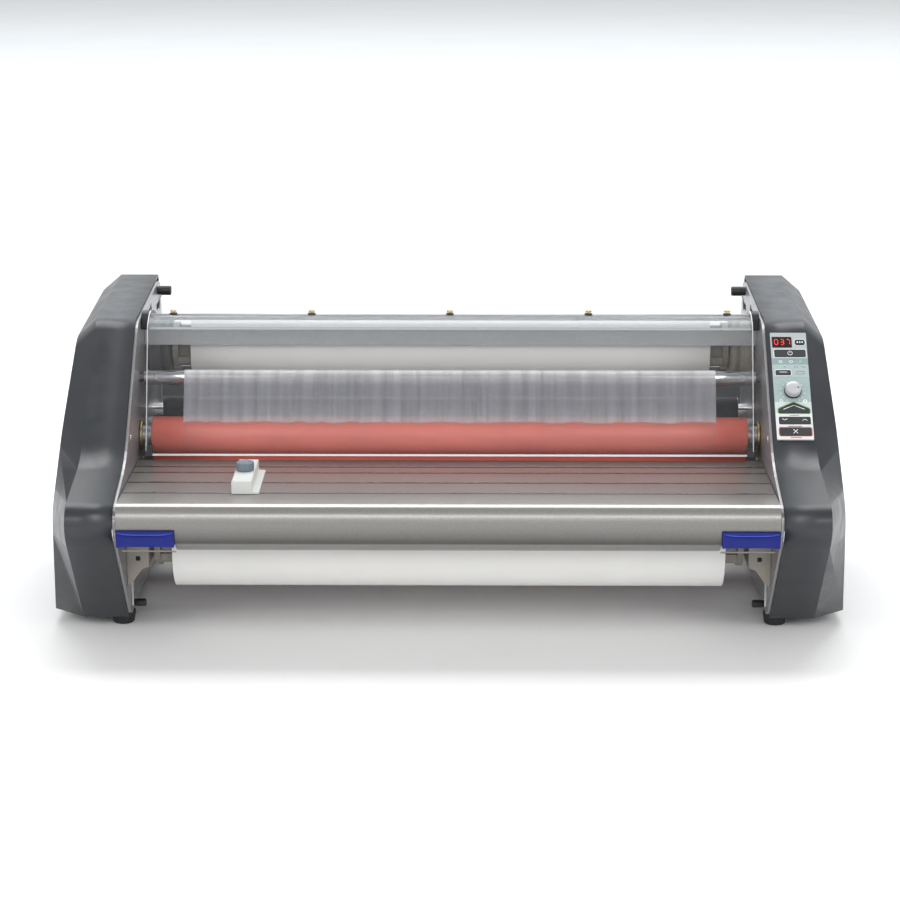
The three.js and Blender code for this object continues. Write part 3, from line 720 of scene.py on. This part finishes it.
def rollers():
    """The upper and the lower heat roller, pull roller and idler, and the heat rollers' bushes."""
    for level, sign in (("upper", 1), ("lower", -1)):
        heat = (HEAT_Y, sign * HEAT_Z)
        sleeve = [(-355.5, 17.3), (-355.5, 21.2), (-354.5, HEAT_R), (354.5, HEAT_R), (355.5, 21.2),
                  (355.5, 17.3), (-355.5, 17.3)]
        spun(f"{level}_heat_sleeve_ground", sleeve, heat, "silicone", f"{level}_heat_roller",
             f"{level}_heat_sleeve", 128, 0)
        shaft = [(-396, 11.8), (-395, 12.5), (-372, 12.5), (-366, 12.5), (-356.2, 12.5), (-356, 17),
                 (356, 17), (356.2, 12.5), (366, 12.5), (377, 12.5), (378, 11.8)]
        spun(f"{level}_heat_shaft_ground", shaft, heat, "zinc", f"{level}_heat_roller",
             f"{level}_heat_shaft", 96, 0.3)
        pull = (PULL_Y, sign * PULL_Z)
        cover = [(-358.1, 8.2), (-358.1, 18.6), (-357.4, 19.35), (357.4, 19.35), (358.1, 18.6), (358.1, 8.2),
                 (-358.1, 8.2)]
        spun(f"{level}_pull_rubber", cover, pull, "pull", f"{level}_pull", (), 112, 0)
        idler = IDLER if sign > 0 else LOWER_IDLER
        right_half = [(365.6, IDLER_R), (366, 8.6), (366.4, 5), (372.6, 5), (373, 4.6)]
        tube = [(-x, r) for x, r in right_half[::-1]] + right_half
        spun(f"{level}_idler_plated", tube, idler, "bright", f"{level}_idler", f"{level}_idler_roller", 96, 0)
        for side, hand in SIDES:
            collar = [(367.5, 12.6), (367.5, 16.9), (368.1, 17.5), (PLATE_X, 17.5), (PLATE_X, 14),
                      (376.5, 14), (376.5, 12.6), (367.5, 12.6)]
            spun(f"{level}_bush_{side}", [(hand * x, r) for x, r in collar], heat, "brass", "frame",
                 f"{level}_heat_bush_{side}", 72, 0)
    repaint("bright", "upper_pull_roller", "lower_pull_roller")


def film_supply(level, axis, radius):
    """A wound film roll on its core, with the layers showing at the ends."""
    ends = []
    layers, inner = 12, 38.6
    for i in range(layers + 1):
        reach = inner + (radius - inner) * i / layers
        ends.append((WEB_HALF - (0.35 if i % 2 else 0.0), min(reach, radius - 0.3)))
    profile = [(-x, r) for x, r in ends] + [(-317.0, radius), (317.0, radius)] + ends[::-1]
    spun(f"{level}_film_wound", [*profile, profile[0]], axis, "film_roll", f"{level}_supply",
         f"{level}_film_roll", 160, 0)
    core = [(-317.9, 36.4), (-317.9, 38.4), (317.9, 38.4), (317.9, 36.4), (-317.9, 36.4)]
    spun(f"{level}_film_core", core, axis, "core", f"{level}_supply", (), 96, 0)
    repaint("beige", f"{level}_mandrel", width=0.8)


def supply_hub(side, sign):
    """The stepped hub that carries one end of the upper roll, painted on the right and dark on the left."""
    look = "beige" if sign > 0 else "hub_dark"
    profile = [(343, 8.3), (343, 30), (344.2, 31), (344.2, 36.6), (345.4, 38), (352, 38), (352.6, 37.2),
               (357, 37.2), (357.6, 38), (365, 38), (366, 39.5), (366, 42), (367, 43), (PLATE_X, 43),
               (PLATE_X, 8.3), (343, 8.3)]
    spun(f"supply_hub_turned_{side}", [(sign * x, r) for x, r in profile], SUPPLY, look, "frame",
         f"upper_supply_hub_{side}", 96, 0)
    for i in range(6):
        turn = math.pi / 3 * i + 0.3
        y, z = SUPPLY[0] + 22 * math.cos(turn), SUPPLY[1] + 22 * math.sin(turn)
        screw(f"hub_screw_{i}_{side}", side_matrix(sign * 343, y, z, -sign), 2.6, "bright", "frame", 1.2)


def web_path():
    """The film's path as (y, z): off the supply roll, over the idler, round the front of the heat roller."""
    thickness = 0.6
    path = [(143, SUPPLY[1] - math.sqrt(41.6 ** 2 - 8 ** 2))]
    bends = ((IDLER, IDLER_R, range(80, 159, 6)), ((HEAT_Y, HEAT_Z), HEAT_R, range(158, 263, 4)))
    for (y, z), radius, degrees in bends:
        reach = radius + thickness
        for turn in map(math.radians, degrees):
            path.append((y + reach * math.cos(turn), z + reach * math.sin(turn)))
    return path


def split_span(a, b, longest):
    """The start of a straight span and even steps along it, none longer than a limit."""
    count = max(1, math.ceil(math.dist(a, b) / longest))
    return [(a[0] + (b[0] - a[0]) * k / count, a[1] + (b[1] - a[1]) * k / count) for k in range(count)]


def film_web():
    """The matt film between idler and roller, pulled into soft lengthwise ripples."""
    path = web_path()
    path = [p for a, b in zip(path, path[1:]) for p in split_span(a, b, 6)] + [path[-1]]
    columns = 300
    points = []
    for y, z in path:
        free = max(0.0, 1 - abs(z - 58) / 38) if y < 46 else 0.25
        for i in range(columns + 1):
            x = -WEB_HALF + 2 * WEB_HALF * i / columns
            lean = max(0.0, -x - 190) / 130
            drawn = x + lean * (92 - z) * 0.7
            ripple = noise.noise(Vector((drawn * 0.05, z * 0.004, 3.1)))
            ripple += 0.7 * noise.noise(Vector((drawn * 0.12, z * 0.01, 7)))
            points.append(at(x, y - (0.35 + 0.65 * ripple) * 1.3 * free, z))
    obj = make_mesh("film_web_rippled", points, grid_faces(len(path), columns + 1), closed=False)
    finish_piece(obj, "web", "frame", "upper_film_web")


# ---- feed table, latches and side guide

BAY_X = 304.5
TABLE_X = 370
SEAMS = (-38, -66, -112, -159)


def table_path():
    """The table's outer surface from the rear lip over the seams and round the nose to the lower lip."""
    path = [(-3, -11.5), (-3, -4), (-3, -0.4), (-3.4, 0)]
    for seam in SEAMS:
        path += [(seam + 0.5, 0), (seam + 0.5, -1.1), (seam - 0.5, -1.1), (seam - 0.5, 0)]
    path += [(-203.6, 0), (-205.8, -0.3)]
    nose = [(-205.8, -0.3), (-211, -2.9), (-215.5, -9), (-217.8, -17), (-218.4, -26), (-217, -36),
            (-212, -45), (-203, -52), (-190, -58)]
    return path + [tuple(p) for p in curve_through(nose, 7)][1:]


def feed_table():
    """One folded sheet, cut back at the rear corners and at the bays for the latches."""
    path = table_path()
    stations = [-TABLE_X, -TABLE_X + 1.0, -BAY_X, 0, BAY_X, TABLE_X - 1.0, TABLE_X]
    points = [at(x, y, z) for y, z in path for x in stations]
    width = len(stations)
    faces = []
    for row in range(len(path) - 1):
        low = path[row + 1][1] < -27.5 and path[row][0] < -190
        notch = path[row][1] < -3 and path[row][0] > -10
        for i in range(width - 1):
            bay = i in (0, 1, 4, 5)
            if (low and bay) or (notch and i in (0, 5)):
                continue
            a = row * width + i
            faces.append([a, a + width, a + width + 1, a + 1])
    obj = make_mesh("feed_table_sheet", points, faces, closed=False)
    skin = obj.modifiers.new("sheet", "SOLIDIFY")
    skin.thickness = 2.4 * MM
    skin.offset = -1
    bevel(obj, 0.14, 2, 50)
    finish_piece(obj, "table", "table", "feed_table")
    half = TABLE_X - 0.4
    # Along each seam: a dark strip over the groove as painted shade, and a strip of bright steel beside it as
    # a painted highlight on the fold.
    for i, seam in enumerate(SEAMS):
        shade_strip = shift([(1.9, -0.5), (1.9, 0.03), (-1.7, 0.03), (-1.7, -0.5)], seam, 0)
        prism_x(f"table_seam_shade_{i}", shade_strip, -half, half, "slot_dark", "table", width=0.02)
        edge = shift([(5.4, -0.5), (5.4, 0.02), (2.6, 0.13), (1.9, 0.02), (1.9, -0.5)], seam, 0)
        prism_x(f"table_fold_highlight_{i}", edge, -half, half, "bright", "table", width=0.02)


def latch(side, sign):
    """A pull latch: a top ledge, lined with a painted highlight in lighter blue, over a finger recess that is
    deepest under the middle of the ledge.
    """
    def bulge(s):
        return max(0.0, 1 - abs(2 * s - 1) ** 4)

    columns, rows = 36, 16
    inner, outer = 305.0, 369.6
    top, bottom = -27.7, -46.0
    front_points, back_points = [], []
    for row in range(rows + 1):
        t = row / rows
        z = top + (bottom - top) * t
        for i in range(columns + 1):
            s = i / columns
            x = sign * (inner + (outer - inner) * s)
            across = bulge(s)
            ledge = 1 - min(1.0, max(0.0, (t - 0.08 - 0.16 * across) / 0.07))
            scoop = (1 - ledge) * across * 7.5 * (1 - t) ** 0.8
            y = -222 + scoop + 1.2 * t * t
            front_points.append(at(x, y, z - (0.9 * (1 - across) if t > 0.9 else 0)))
            back_points.append(at(x, -206 + 1.5 * t, z))
    width, front = columns + 1, len(front_points)
    faces = grid_faces(rows + 1, width)
    faces += [[a, d, c, b] for a, b, c, d in grid_faces(rows + 1, width, front)]
    low = rows * width
    for i in range(columns):
        faces.append([i, front + i, front + i + 1, i + 1])
        faces.append([low + i, low + i + 1, front + low + i + 1, front + low + i])
    for a in range(0, low, width):
        b = a + columns
        faces.append([a, a + width, front + a + width, front + a])
        faces.append([b, front + b, front + b + width, b + width])
    obj = bevel(make_mesh(f"latch_grip_{side}", front_points + back_points, faces), 0.7, 3, 55)
    finish_piece(obj, "blue", f"latch_{side}_body", f"latch_{side}")
    # A thin rail of lighter blue along the ledge's edge: a painted highlight.
    points, sides = [], 12
    for i in range(columns + 1):
        s = i / columns
        x = sign * (inner + 0.6 + (outer - inner - 1.2) * s)
        middle = top - 1.4 - 2.6 * bulge(s)
        points += [at(x, -221.0 + 0.9 * u, middle + 1.1 * v) for u, v in circle(1, sides=sides)]
    rail = ring_faces(columns + 1, sides) + end_faces(columns + 1, sides)
    finish_piece(make_mesh(f"latch_ledge_highlight_{side}", points, rail), "blue_ledge_highlight", f"latch_{side}_body")
    lip = [(-214, -51.8), (-213.2, -53.4), (-203, -57), (-202.4, -55.5)]
    prism_x(f"table_lip_end_{side}", lip, sign * BAY_X, sign * (TABLE_X - 6), "table", "table", width=0.4)


def side_guide():
    """The sliding fence: a tall block, a thin foot on its inner side, and a fluted clamp knob on top."""
    corners = ((-245, 0.3), (-214, 0.3), (-214, 2.8), (-222, 3.2), (-222, 15.3), (-245, 15.3))
    outline = soften(corners, (0.5, 0.5, 0.8, 1.2, 1.6, 1.6), 4)
    points = [at(p.x, y, p.y) for y in (-164, -62) for p in outline]
    obj = bevel(make_mesh("side_guide_moulded", points, prism_faces(len(outline))), 0.9, 3, 40)
    finish_piece(obj, "guide", "guide", "side_guide")
    sides, flutes = 144, 14

    def fluted(h, radius, i):
        wave = 0.5 + 0.5 * math.cos(flutes * 2 * math.pi * i / sides)
        return radius - (1.1 * wave ** 1.6 if 0.5 < h < 9.0 else 0.0)

    steps = [(0.0, 9.6), (0.9, 10.4), (8.2, 10.4), (9.4, 9.8), (10.0, 8.8), (10.0, 5.2), (9.2, 4.6),
             (9.2, 0.01)]
    knob = turned("guide_knob_fluted", steps, lambda u, v, h: at(u - 233.5, v - 113, h + 15.6), sides, fluted)
    finish_piece(knob, "slate", "guide_clamp", "guide_knob")


# ---- heat shield

SHIELD_HALF = 361.5
ROD = (75, 158)


def strip_outline(path, thickness):
    """An even strip along an open path, as a closed outline."""
    spans = [b - a for a, b in zip(path, path[1:])]
    offsets = [mitre(a, b) * (thickness / 2) for a, b in zip([spans[0], *spans], [*spans, spans[-1]])]
    above = [point + offset for point, offset in zip(path, offsets)]
    below = [point - offset for point, offset in zip(path, offsets)]
    return above + below[::-1]


def heat_shield():
    """The bent clear sheet on its rod, with everything that lifts with it, and the fixed hinge blocks."""
    bends = ((84, 163.8), (71, 163.8), (53, 156.5), (47.2, 152.2), (45.3, 147.6), (-2, 6))
    corners = [Vector(p) for p in bends]
    path = [corners[0]]
    for before, corner, after in zip(corners, corners[1:], corners[2:]):
        end = corner + (after - corner) * min(0.4, 5 / (after - corner).length)
        path += eased(corner + (before - corner) * 0.4, corner, end, 6)
    path.append(corners[-1])
    prism_x("heat_shield_sheet", strip_outline(path, 1.9), -SHIELD_HALF, SHIELD_HALF, "clear", "shield",
            "heat_shield", 0.4)
    spun("shield_rod_plated", [(-368, 3.2), (-367.2, 4), (367.2, 4), (368, 3.2)], ROD, "zinc", "shield",
         "shield_rod", 64, 0)
    # A thin pale strip along the sheet's bottom edge: a painted highlight.
    edge_highlight_outline = [(-3.3, 4.9), (-1.0, 4.1), (0.9, 6.2), (-1.4, 7.0)]
    prism_x("shield_bottom_edge_highlight", edge_highlight_outline, -358, 358, "edge", "shield", width=0.3)
    for i in range(5):
        x = (i - 2) * 166.5
        plane = Matrix.Translation(at(x, 75, 164.7))
        screw(f"shield_screw_{i}", plane, 4.2, "brass", "shield", 2.6)
        clamp = Matrix.Translation(at(x, 75, 162.4))
        prism(f"shield_spacer_{i}", circle(4.8, sides=32), -1.4, 0.5, clamp, "black", "shield", width=0.1)
    clip = soften(((-4.2, 3.4), (3.0, 3.4), (7.2, 15.4), (0.2, 15.4)), 1.2, 4)
    hinge = soften(((63, 144), (87, 144), (87, 160), (82, 165), (68, 165), (63, 160)), 2.5, 5)
    for side, sign in SIDES:
        inner, outer = sign * 353.5, sign * 362.4
        prism_x(f"shield_clip_{side}", clip, inner, outer, "black", "shield", width=0.7)
        # A thin pale strip on each side edge of the sheet: a painted highlight.
        edge = strip_outline(path, 2.1)
        prism_x(f"shield_edge_highlight_{side}", edge, sign * (SHIELD_HALF - 0.9), sign * (SHIELD_HALF + 0.1), "edge",
                "shield", width=0.05)
        prism_x(f"shield_hinge_block_{side}", hinge, outer, sign * PLATE_X, "black", "frame",
                f"shield_hinge_{side}", 0.7)


# ---- control panel

# The control face's plane: local Y runs up the slope, and heights are measured off the cover.
SLOPE = math.atan2(137, 139)
FACE = Matrix.Translation(at(400, -30.5, 96.44)) @ Matrix.Rotation(SLOPE, 4, "X")
PRINT_BASE, PRINT_SEAT, PRINT_TOP, BORDER_TOP = 2.25, 2.28, 2.42, 2.44
KEY_TOP = 3.06
KEY_WIDE = 36.4
# Each button's place and outline.
BUTTONS = {
    "standby": (13.2, 60.5, rounded_rect(11.6, 7.5, 3)),
    "power": (0.8, 45, rounded_rect(KEY_WIDE, 10.2, 1.5)),
    "mode": (-8.8, 17.9, rounded_rect(17.5, 6.7, 1.5)),
    "run": (0.6, -30.9, soften(((-18, -7.4), (18, -7.4), (18, -1.5), (0, 7.4), (-18, -1.5)), 1.5, 5)),
    "direction": (0.6, -48.5, rounded_rect(KEY_WIDE, 9.9, 1.5)),
    "stop": (0.6, -63.6, rounded_rect(KEY_WIDE, 10.3, 1.5)),
}
DIAL = (0.6, -8.3)


def zoned_panel():
    """The printed overlay's bands, from the height up the slope of the control face."""
    pale, aqua = (0.36, 0.40, 0.405), (0.22, 0.295, 0.30)
    mist, green = (0.34, 0.40, 0.40), (0.30, 0.385, 0.38)
    look = Look("panel_print", green, 0.42)
    stops = [(-75, (0.62, 0.64, 0.64)), (-38.5, (0.50, 0.56, 0.55)), (-23, green), (10.2, aqua),
             (10.9, mist), (29, aqua), (38, pale), (75, pale)]
    look.bands(look.along(FACE.to_3x3() @ Vector((0, 1, 0)), FACE.translation), stops, hold=True)
    look.shade(look.noise(300, detail=2), 0.03)
    return look.bump(look.noise(2600), 0.00001, 0.3).material


def seven_segments(digit):
    """The lit bars of a digit, as outlines 4.2 wide and 8 high."""
    lit = {"0": "abcdef", "3": "abcdg", "7": "abc"}[digit]
    w, h, t = 1.9, 3.7, 0.42
    across = [(-w + 0.4, 0), (-w + 1.0, t), (w - 1.0, t), (w - 0.4, 0), (w - 1.0, -t), (-w + 1.0, -t)]
    upright = [(0, 0.3), (t, 0.9), (t, h - 0.9), (0, h - 0.3), (-t, h - 0.9), (-t, 0.9)]
    places = {"a": (across, 0, h), "g": (across, 0, 0), "d": (across, 0, -h), "b": (upright, w, 0),
              "c": (upright, w, -h), "f": (upright, -w, 0), "e": (upright, -w, -h)}
    return [shift(*places[k]) for k in lit]


def print_mark(name, outline, x, y, look, body="frame", base=PRINT_SEAT):
    """A printed sign, a film's thickness proud of what it lies on."""
    prism(name, shift(outline, x, y), base, base + 0.14, FACE, look, body, width=0)


def key_mark(key, name, outline, x=0.0, y=0.0):
    """A white sign on a button, placed from the button's middle."""
    key_x, key_y, _ = BUTTONS[key]
    print_mark(name, outline, key_x + x, key_y + y, "ink_white", f"{key}_key", KEY_TOP)


def print_ring(name, outer, inner, x, y, look, top=PRINT_TOP):
    rim(name, shift(outer, x, y), shift(inner, x, y), PRINT_BASE, top, FACE, look, "frame")


def bar(x0, y0, x1, y1, thick):
    """A straight stroke between two points, as an outline."""
    a, b = Vector((x0, y0)), Vector((x1, y1))
    n = (b - a).normalized()
    side = Vector((-n.y, n.x)) * thick / 2
    return [tuple(a - side), tuple(b - side), tuple(b + side), tuple(a + side)]


def control_panel():
    """The overlay, the six buttons and every sign printed on them."""
    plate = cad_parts["control_panel"]
    plate.data.materials.clear()
    plate.data.materials.append(zoned_panel())
    bevel(plate, 0.3, 2, 50)
    for name, (x, y, outline) in BUTTONS.items():
        prism(f"{name}_button_cap", shift(outline, x, y), -1.2, 3.1, FACE, "button", f"{name}_key",
              f"{name}_button", 0.55)
        look = {"run": "ink_green", "stop": "ink_red"}.get(name, "panel_white")
        print_ring(f"{name}_border", inset(outline, -1.15), inset(outline, -0.4), x, y, look, BORDER_TOP)
    window_x, window_y = -7.9, 60.7
    prism("display_window", shift(rounded_rect(23.2, 15, 0.8), window_x, window_y), PRINT_BASE, 2.75, FACE,
          "window", "frame", width=0.2)
    for i, digit in enumerate("037"):
        for k, outline in enumerate(seven_segments(digit)):
            print_mark(f"digit_{i}_{k}", outline, -14.6 + 7.0 * i, window_y, "digit", base=2.72)
    for k in range(3):
        key_mark("standby", f"standby_mark_{k}", circle(0.95, sides=16), 2.8 * (k - 1))
    open_ring = [math.radians(120 + 10 * k) for k in range(31)]
    ring = [(2.9 * math.cos(a), 2.9 * math.sin(a)) for a in open_ring]
    ring += [(2.35 * math.cos(a), 2.35 * math.sin(a)) for a in open_ring[::-1]]
    key_mark("power", "power_ring", ring, 0, -0.2)
    key_mark("power", "power_stroke", bar(0, 0.2, 0, 3.7, 0.6), 0, -0.2)
    key_mark("mode", "mode_stroke", bar(-4.5, 0.3, 4.5, 0.3, 0.7))
    for k, s in enumerate((-1, 1)):
        key_mark("run", f"run_chevron_{k}", bar(s * 12.4, -2.6, s * 0.2, 2.9, 0.7))
        key_mark("stop", f"stop_cross_{k}", bar(-2.6, -2.8 * s, 2.6, 2.8 * s, 0.75))
        for m, d in enumerate((-1, 1)):
            stroke = bar(d * 3.0, -1.2 * s, 0, 0.6 * s, 0.65)
            key_mark("direction", f"direction_arrow_{k}_{m}", stroke, s * 11.6, 0.9)
    for k, x in enumerate((-11, 1.2)):
        oval = [(2.1 * u, 1.7 * v) for u, v in circle(1, sides=20)]
        hole = [(p[0] * 0.72, p[1] * 0.72) for p in oval]
        print_ring(f"status_ring_{k}", oval, hole, x, 33.4, "ink_white")
    print_mark("status_led", circle(1.25, sides=20), 12.2, 33.6, "led")
    mode_y = 26
    print_mark("mode_led", circle(0.9, sides=20), -11.6, mode_y, "led")
    for k, x in enumerate((-6.6, 5.2, 8.2, 14.6, 17.2)):
        print_mark(f"mode_dash_{k}", bar(-1.1, 0, 1.1, 0, 0.8), x, mode_y, "ink")
    gauge = rounded_rect(9.4, 4.4, 1.0, 3)
    print_ring("reverse_symbol", gauge, inset(gauge, 0.55), 11.4, 17.9, "ink")
    legends = ((-41.4, 5.2, "ink_green"), (-56.4, 8.0, "ink"), (-71.6, 6.4, "ink_red"))
    for k, (y, half, look) in enumerate(legends):
        print_mark(f"legend_{k}", bar(-half, 0, half, 0, 0.9), 0.6, y, look)
    for k in range(13):
        turn = math.radians(-60 + 25 * k)
        u, v = math.cos(turn), math.sin(turn)
        print_mark(f"dial_tick_{k}", bar(13.1 * u, 13.1 * v, 14.6 * u, 14.6 * v, 0.7), *DIAL, "ink_white")
    for k, (x, y) in enumerate(((-13.5, -21.5), (14.2, -21.8))):
        outer = circle(2.0 + 0.3 * k, sides=20)
        print_ring(f"speed_symbol_{k}", outer, circle(1.4, sides=20), x, y, "ink_white")


def speed_knob():
    """A pearl dial over a dark skirt, domed on top, with fine grips and a pointer dimple."""
    def on_dial(u, v, h):
        return FACE @ Vector(((DIAL[0] + u) * MM, (DIAL[1] + v) * MM, h * MM))

    def grips(h, radius, i):
        return radius - (0.14 if i % 4 < 2 and radius > 8 else 0)

    sides = 120
    rings = [(-8, 2.9), (2.5, 2.9), (2.7, 9.6), (3.0, 10.1), (4.6, 10.1), (5.0, 9.4)]
    finish_piece(turned("speed_knob_skirt", rings, on_dial, sides), "slot_dark", "speed_dial")
    dome = [(4.9, 9.5), (5.3, 9.6), (10.6, 9.1)]
    for a in [math.radians(8 * k) for k in range(1, 12)]:
        dome.append((10.6 + 3.5 * math.sin(a), 0.2 + 8.9 * math.cos(a)))
    finish_piece(turned("speed_knob_dial", dome, on_dial, sides, grips), "knob", "speed_dial", "speed_knob")
    pointer = circle(0.95, DIAL[0] + 5.2, DIAL[1] - 1.4)
    prism("knob_pointer", pointer, 12.7, 13.75, FACE, "slot_dark", "speed_dial", width=0.15)


# ---- back, drive and underside

BACK_Y = 251.95


def facing(x, y, z, sign):
    """A local plane whose normal points to the front (sign 1) or the back (sign -1)."""
    return Matrix.Translation(at(x, y, z)) @ Matrix.Rotation(sign * math.pi / 2, 4, "X")


def lower_bracket(side, sign):
    """A folded sheet channel, open below, that carries one end of the lower roll and tapers to the plate."""
    outline = [(345, -26), (PLATE_X, -26), (PLATE_X, -119), (366, -117), (353, -99), (345, -96)]
    count = len(outline)
    points = [at(sign * x, y, z) for y in (-128, -38) for x, z in outline]
    faces = [list(range(count)), list(range(count, 2 * count))[::-1], [0, count, count + 1, 1],
             [0, count - 1, 2 * count - 1, count]]
    obj = make_mesh(f"lower_bracket_folded_{side}", points, faces, smooth=False, closed=False)
    skin = obj.modifiers.new("sheet", "SOLIDIFY")
    skin.thickness = 2.2 * MM
    skin.offset = sign
    bevel(obj, 0.8, 3, 40)
    finish_piece(obj, "beige", "frame", f"lower_supply_bracket_{side}")
    # Painted shade: a dark piece in the bracket's peephole.
    plane = facing(sign * 357.5, -128, -86, 1)
    dark_opening(f"bracket_peephole_{side}", rounded_rect(5.2, 5.2, 0.5, 2), 0.2, 0.16, plane)
    screw(f"bracket_screw_{side}", facing(sign * 357.5, -128, -40, 1), 3.2, "bright", "frame", 1.4)


def rear_and_drive():
    """The CAD parts that keep their shape, and the details of the drive, the back and the covers."""
    repaint("grey_steel", "rear_panel_upper", "rear_panel_lower", "upper_cross_bar", width=0.5)
    repaint("zinc", "side_plate_left", "side_plate_right")
    repaint("nylon", "upper_heat_gear", "lower_heat_gear", "idler_gear", width=0.2)
    repaint("bright", "motor_pinion", width=0.15)
    repaint("board", "control_board")
    repaint("black", "power_inlet", width=0.8)
    for side, sign in SIDES:
        lower_bracket(side, sign)
    motor = centre("drive_motor")
    axis = ((motor.y - ORIGIN.y) / MM, (motor.z - ORIGIN.z) / MM)
    case = [(-370.7, 4.3), (-370.7, 26.2), (-370, 27), (-345, 27), (-344, 26), (-344, 21.4), (-343, 21)]
    for x in range(-340, -295, 5):
        case += [(x, 21), (x + 1, 20.3), (x + 3.4, 20.3), (x + 4.2, 21)]
    case += [(-291, 21), (-288, 17.6), (-288, 4.2), (-370.7, 4.3)]
    spun("drive_motor_case", case, axis, "grey_steel", "frame", "drive_motor", 72, 0)
    back = facing(0, 256, 0, -1)
    for k, (x, y) in enumerate(((286, 101), (294, 101), (290, 98))):
        pin = shift([(-0.8, 3), (0.8, 3), (0.8, -3), (-0.8, -3)], x, y)
        prism(f"inlet_pin_{k}", pin, 0, 9, back, "bright", "frame", width=0.2)
    rear_details()
    for side, sign in SIDES:
        for k, (y, z) in enumerate(((240, 120), (240, -120), (20, -130), (20, 60))):
            turn = Matrix.Rotation(sign * (math.pi / 2 + SIDE_TILT), 4, "Y")
            plane = Matrix.Translation(at(sign * (side_face_x(z) - 0.2), y, z)) @ turn
            screw(f"cover_screw_{k}_{side}", plane, 4.0, "black", "frame", 1.4)


def rear_details():
    """Screws, vents in painted shade and a blank rating plate on the rear panels."""
    for row, z in (("upper", 38), ("lower", -30), ("base", -132)):
        for k in range(6):
            plane = facing(-340 + 136 * k, BACK_Y - 0.05, z, -1)
            screw(f"rear_screw_{row}_{k}", plane, 3.6, "bright", "frame")
    # Painted shade: a dark slot piece for each vent.
    slot = rounded_rect(3.6, 15, 1.8, 4)
    for k in range(22):
        for row in range(2):
            plane = facing(-250 + 11 * k, BACK_Y, -62 - 22 * row, -1)
            dark_opening(f"rear_vent_{row}_{k}", slot, 0.1, 0.14, plane)
    plane = facing(170, BACK_Y, -96, -1)
    prism("rating_plate_blank", rounded_rect(62, 34, 2), -0.1, 0.35, plane, "bright", "frame", width=0.1)


# ---- build

make_camera()
make_stage()
for SIDE, SIGN in SIDES:
    side_cover(SIDE, SIGN)
    plate_details(SIDE, SIGN)
    peg(f"upper_stop_peg_{SIDE}", SIGN, 230, 162, 6, 353)
    peg(f"lower_stop_peg_{SIDE}", SIGN, -85, -152, 4.5, 355)
    foot(f"foot_front_{SIDE}", SIGN * 383, -76)
    foot(f"foot_rear_{SIDE}", SIGN * 383, 245)
    supply_hub(SIDE, SIGN)
    latch(SIDE, SIGN)
rollers()
film_supply("upper", SUPPLY, 41)
film_supply("lower", LOWER_SUPPLY, 53)
film_web()
feed_table()
side_guide()
heat_shield()
control_panel()
speed_knob()
rear_and_drive()
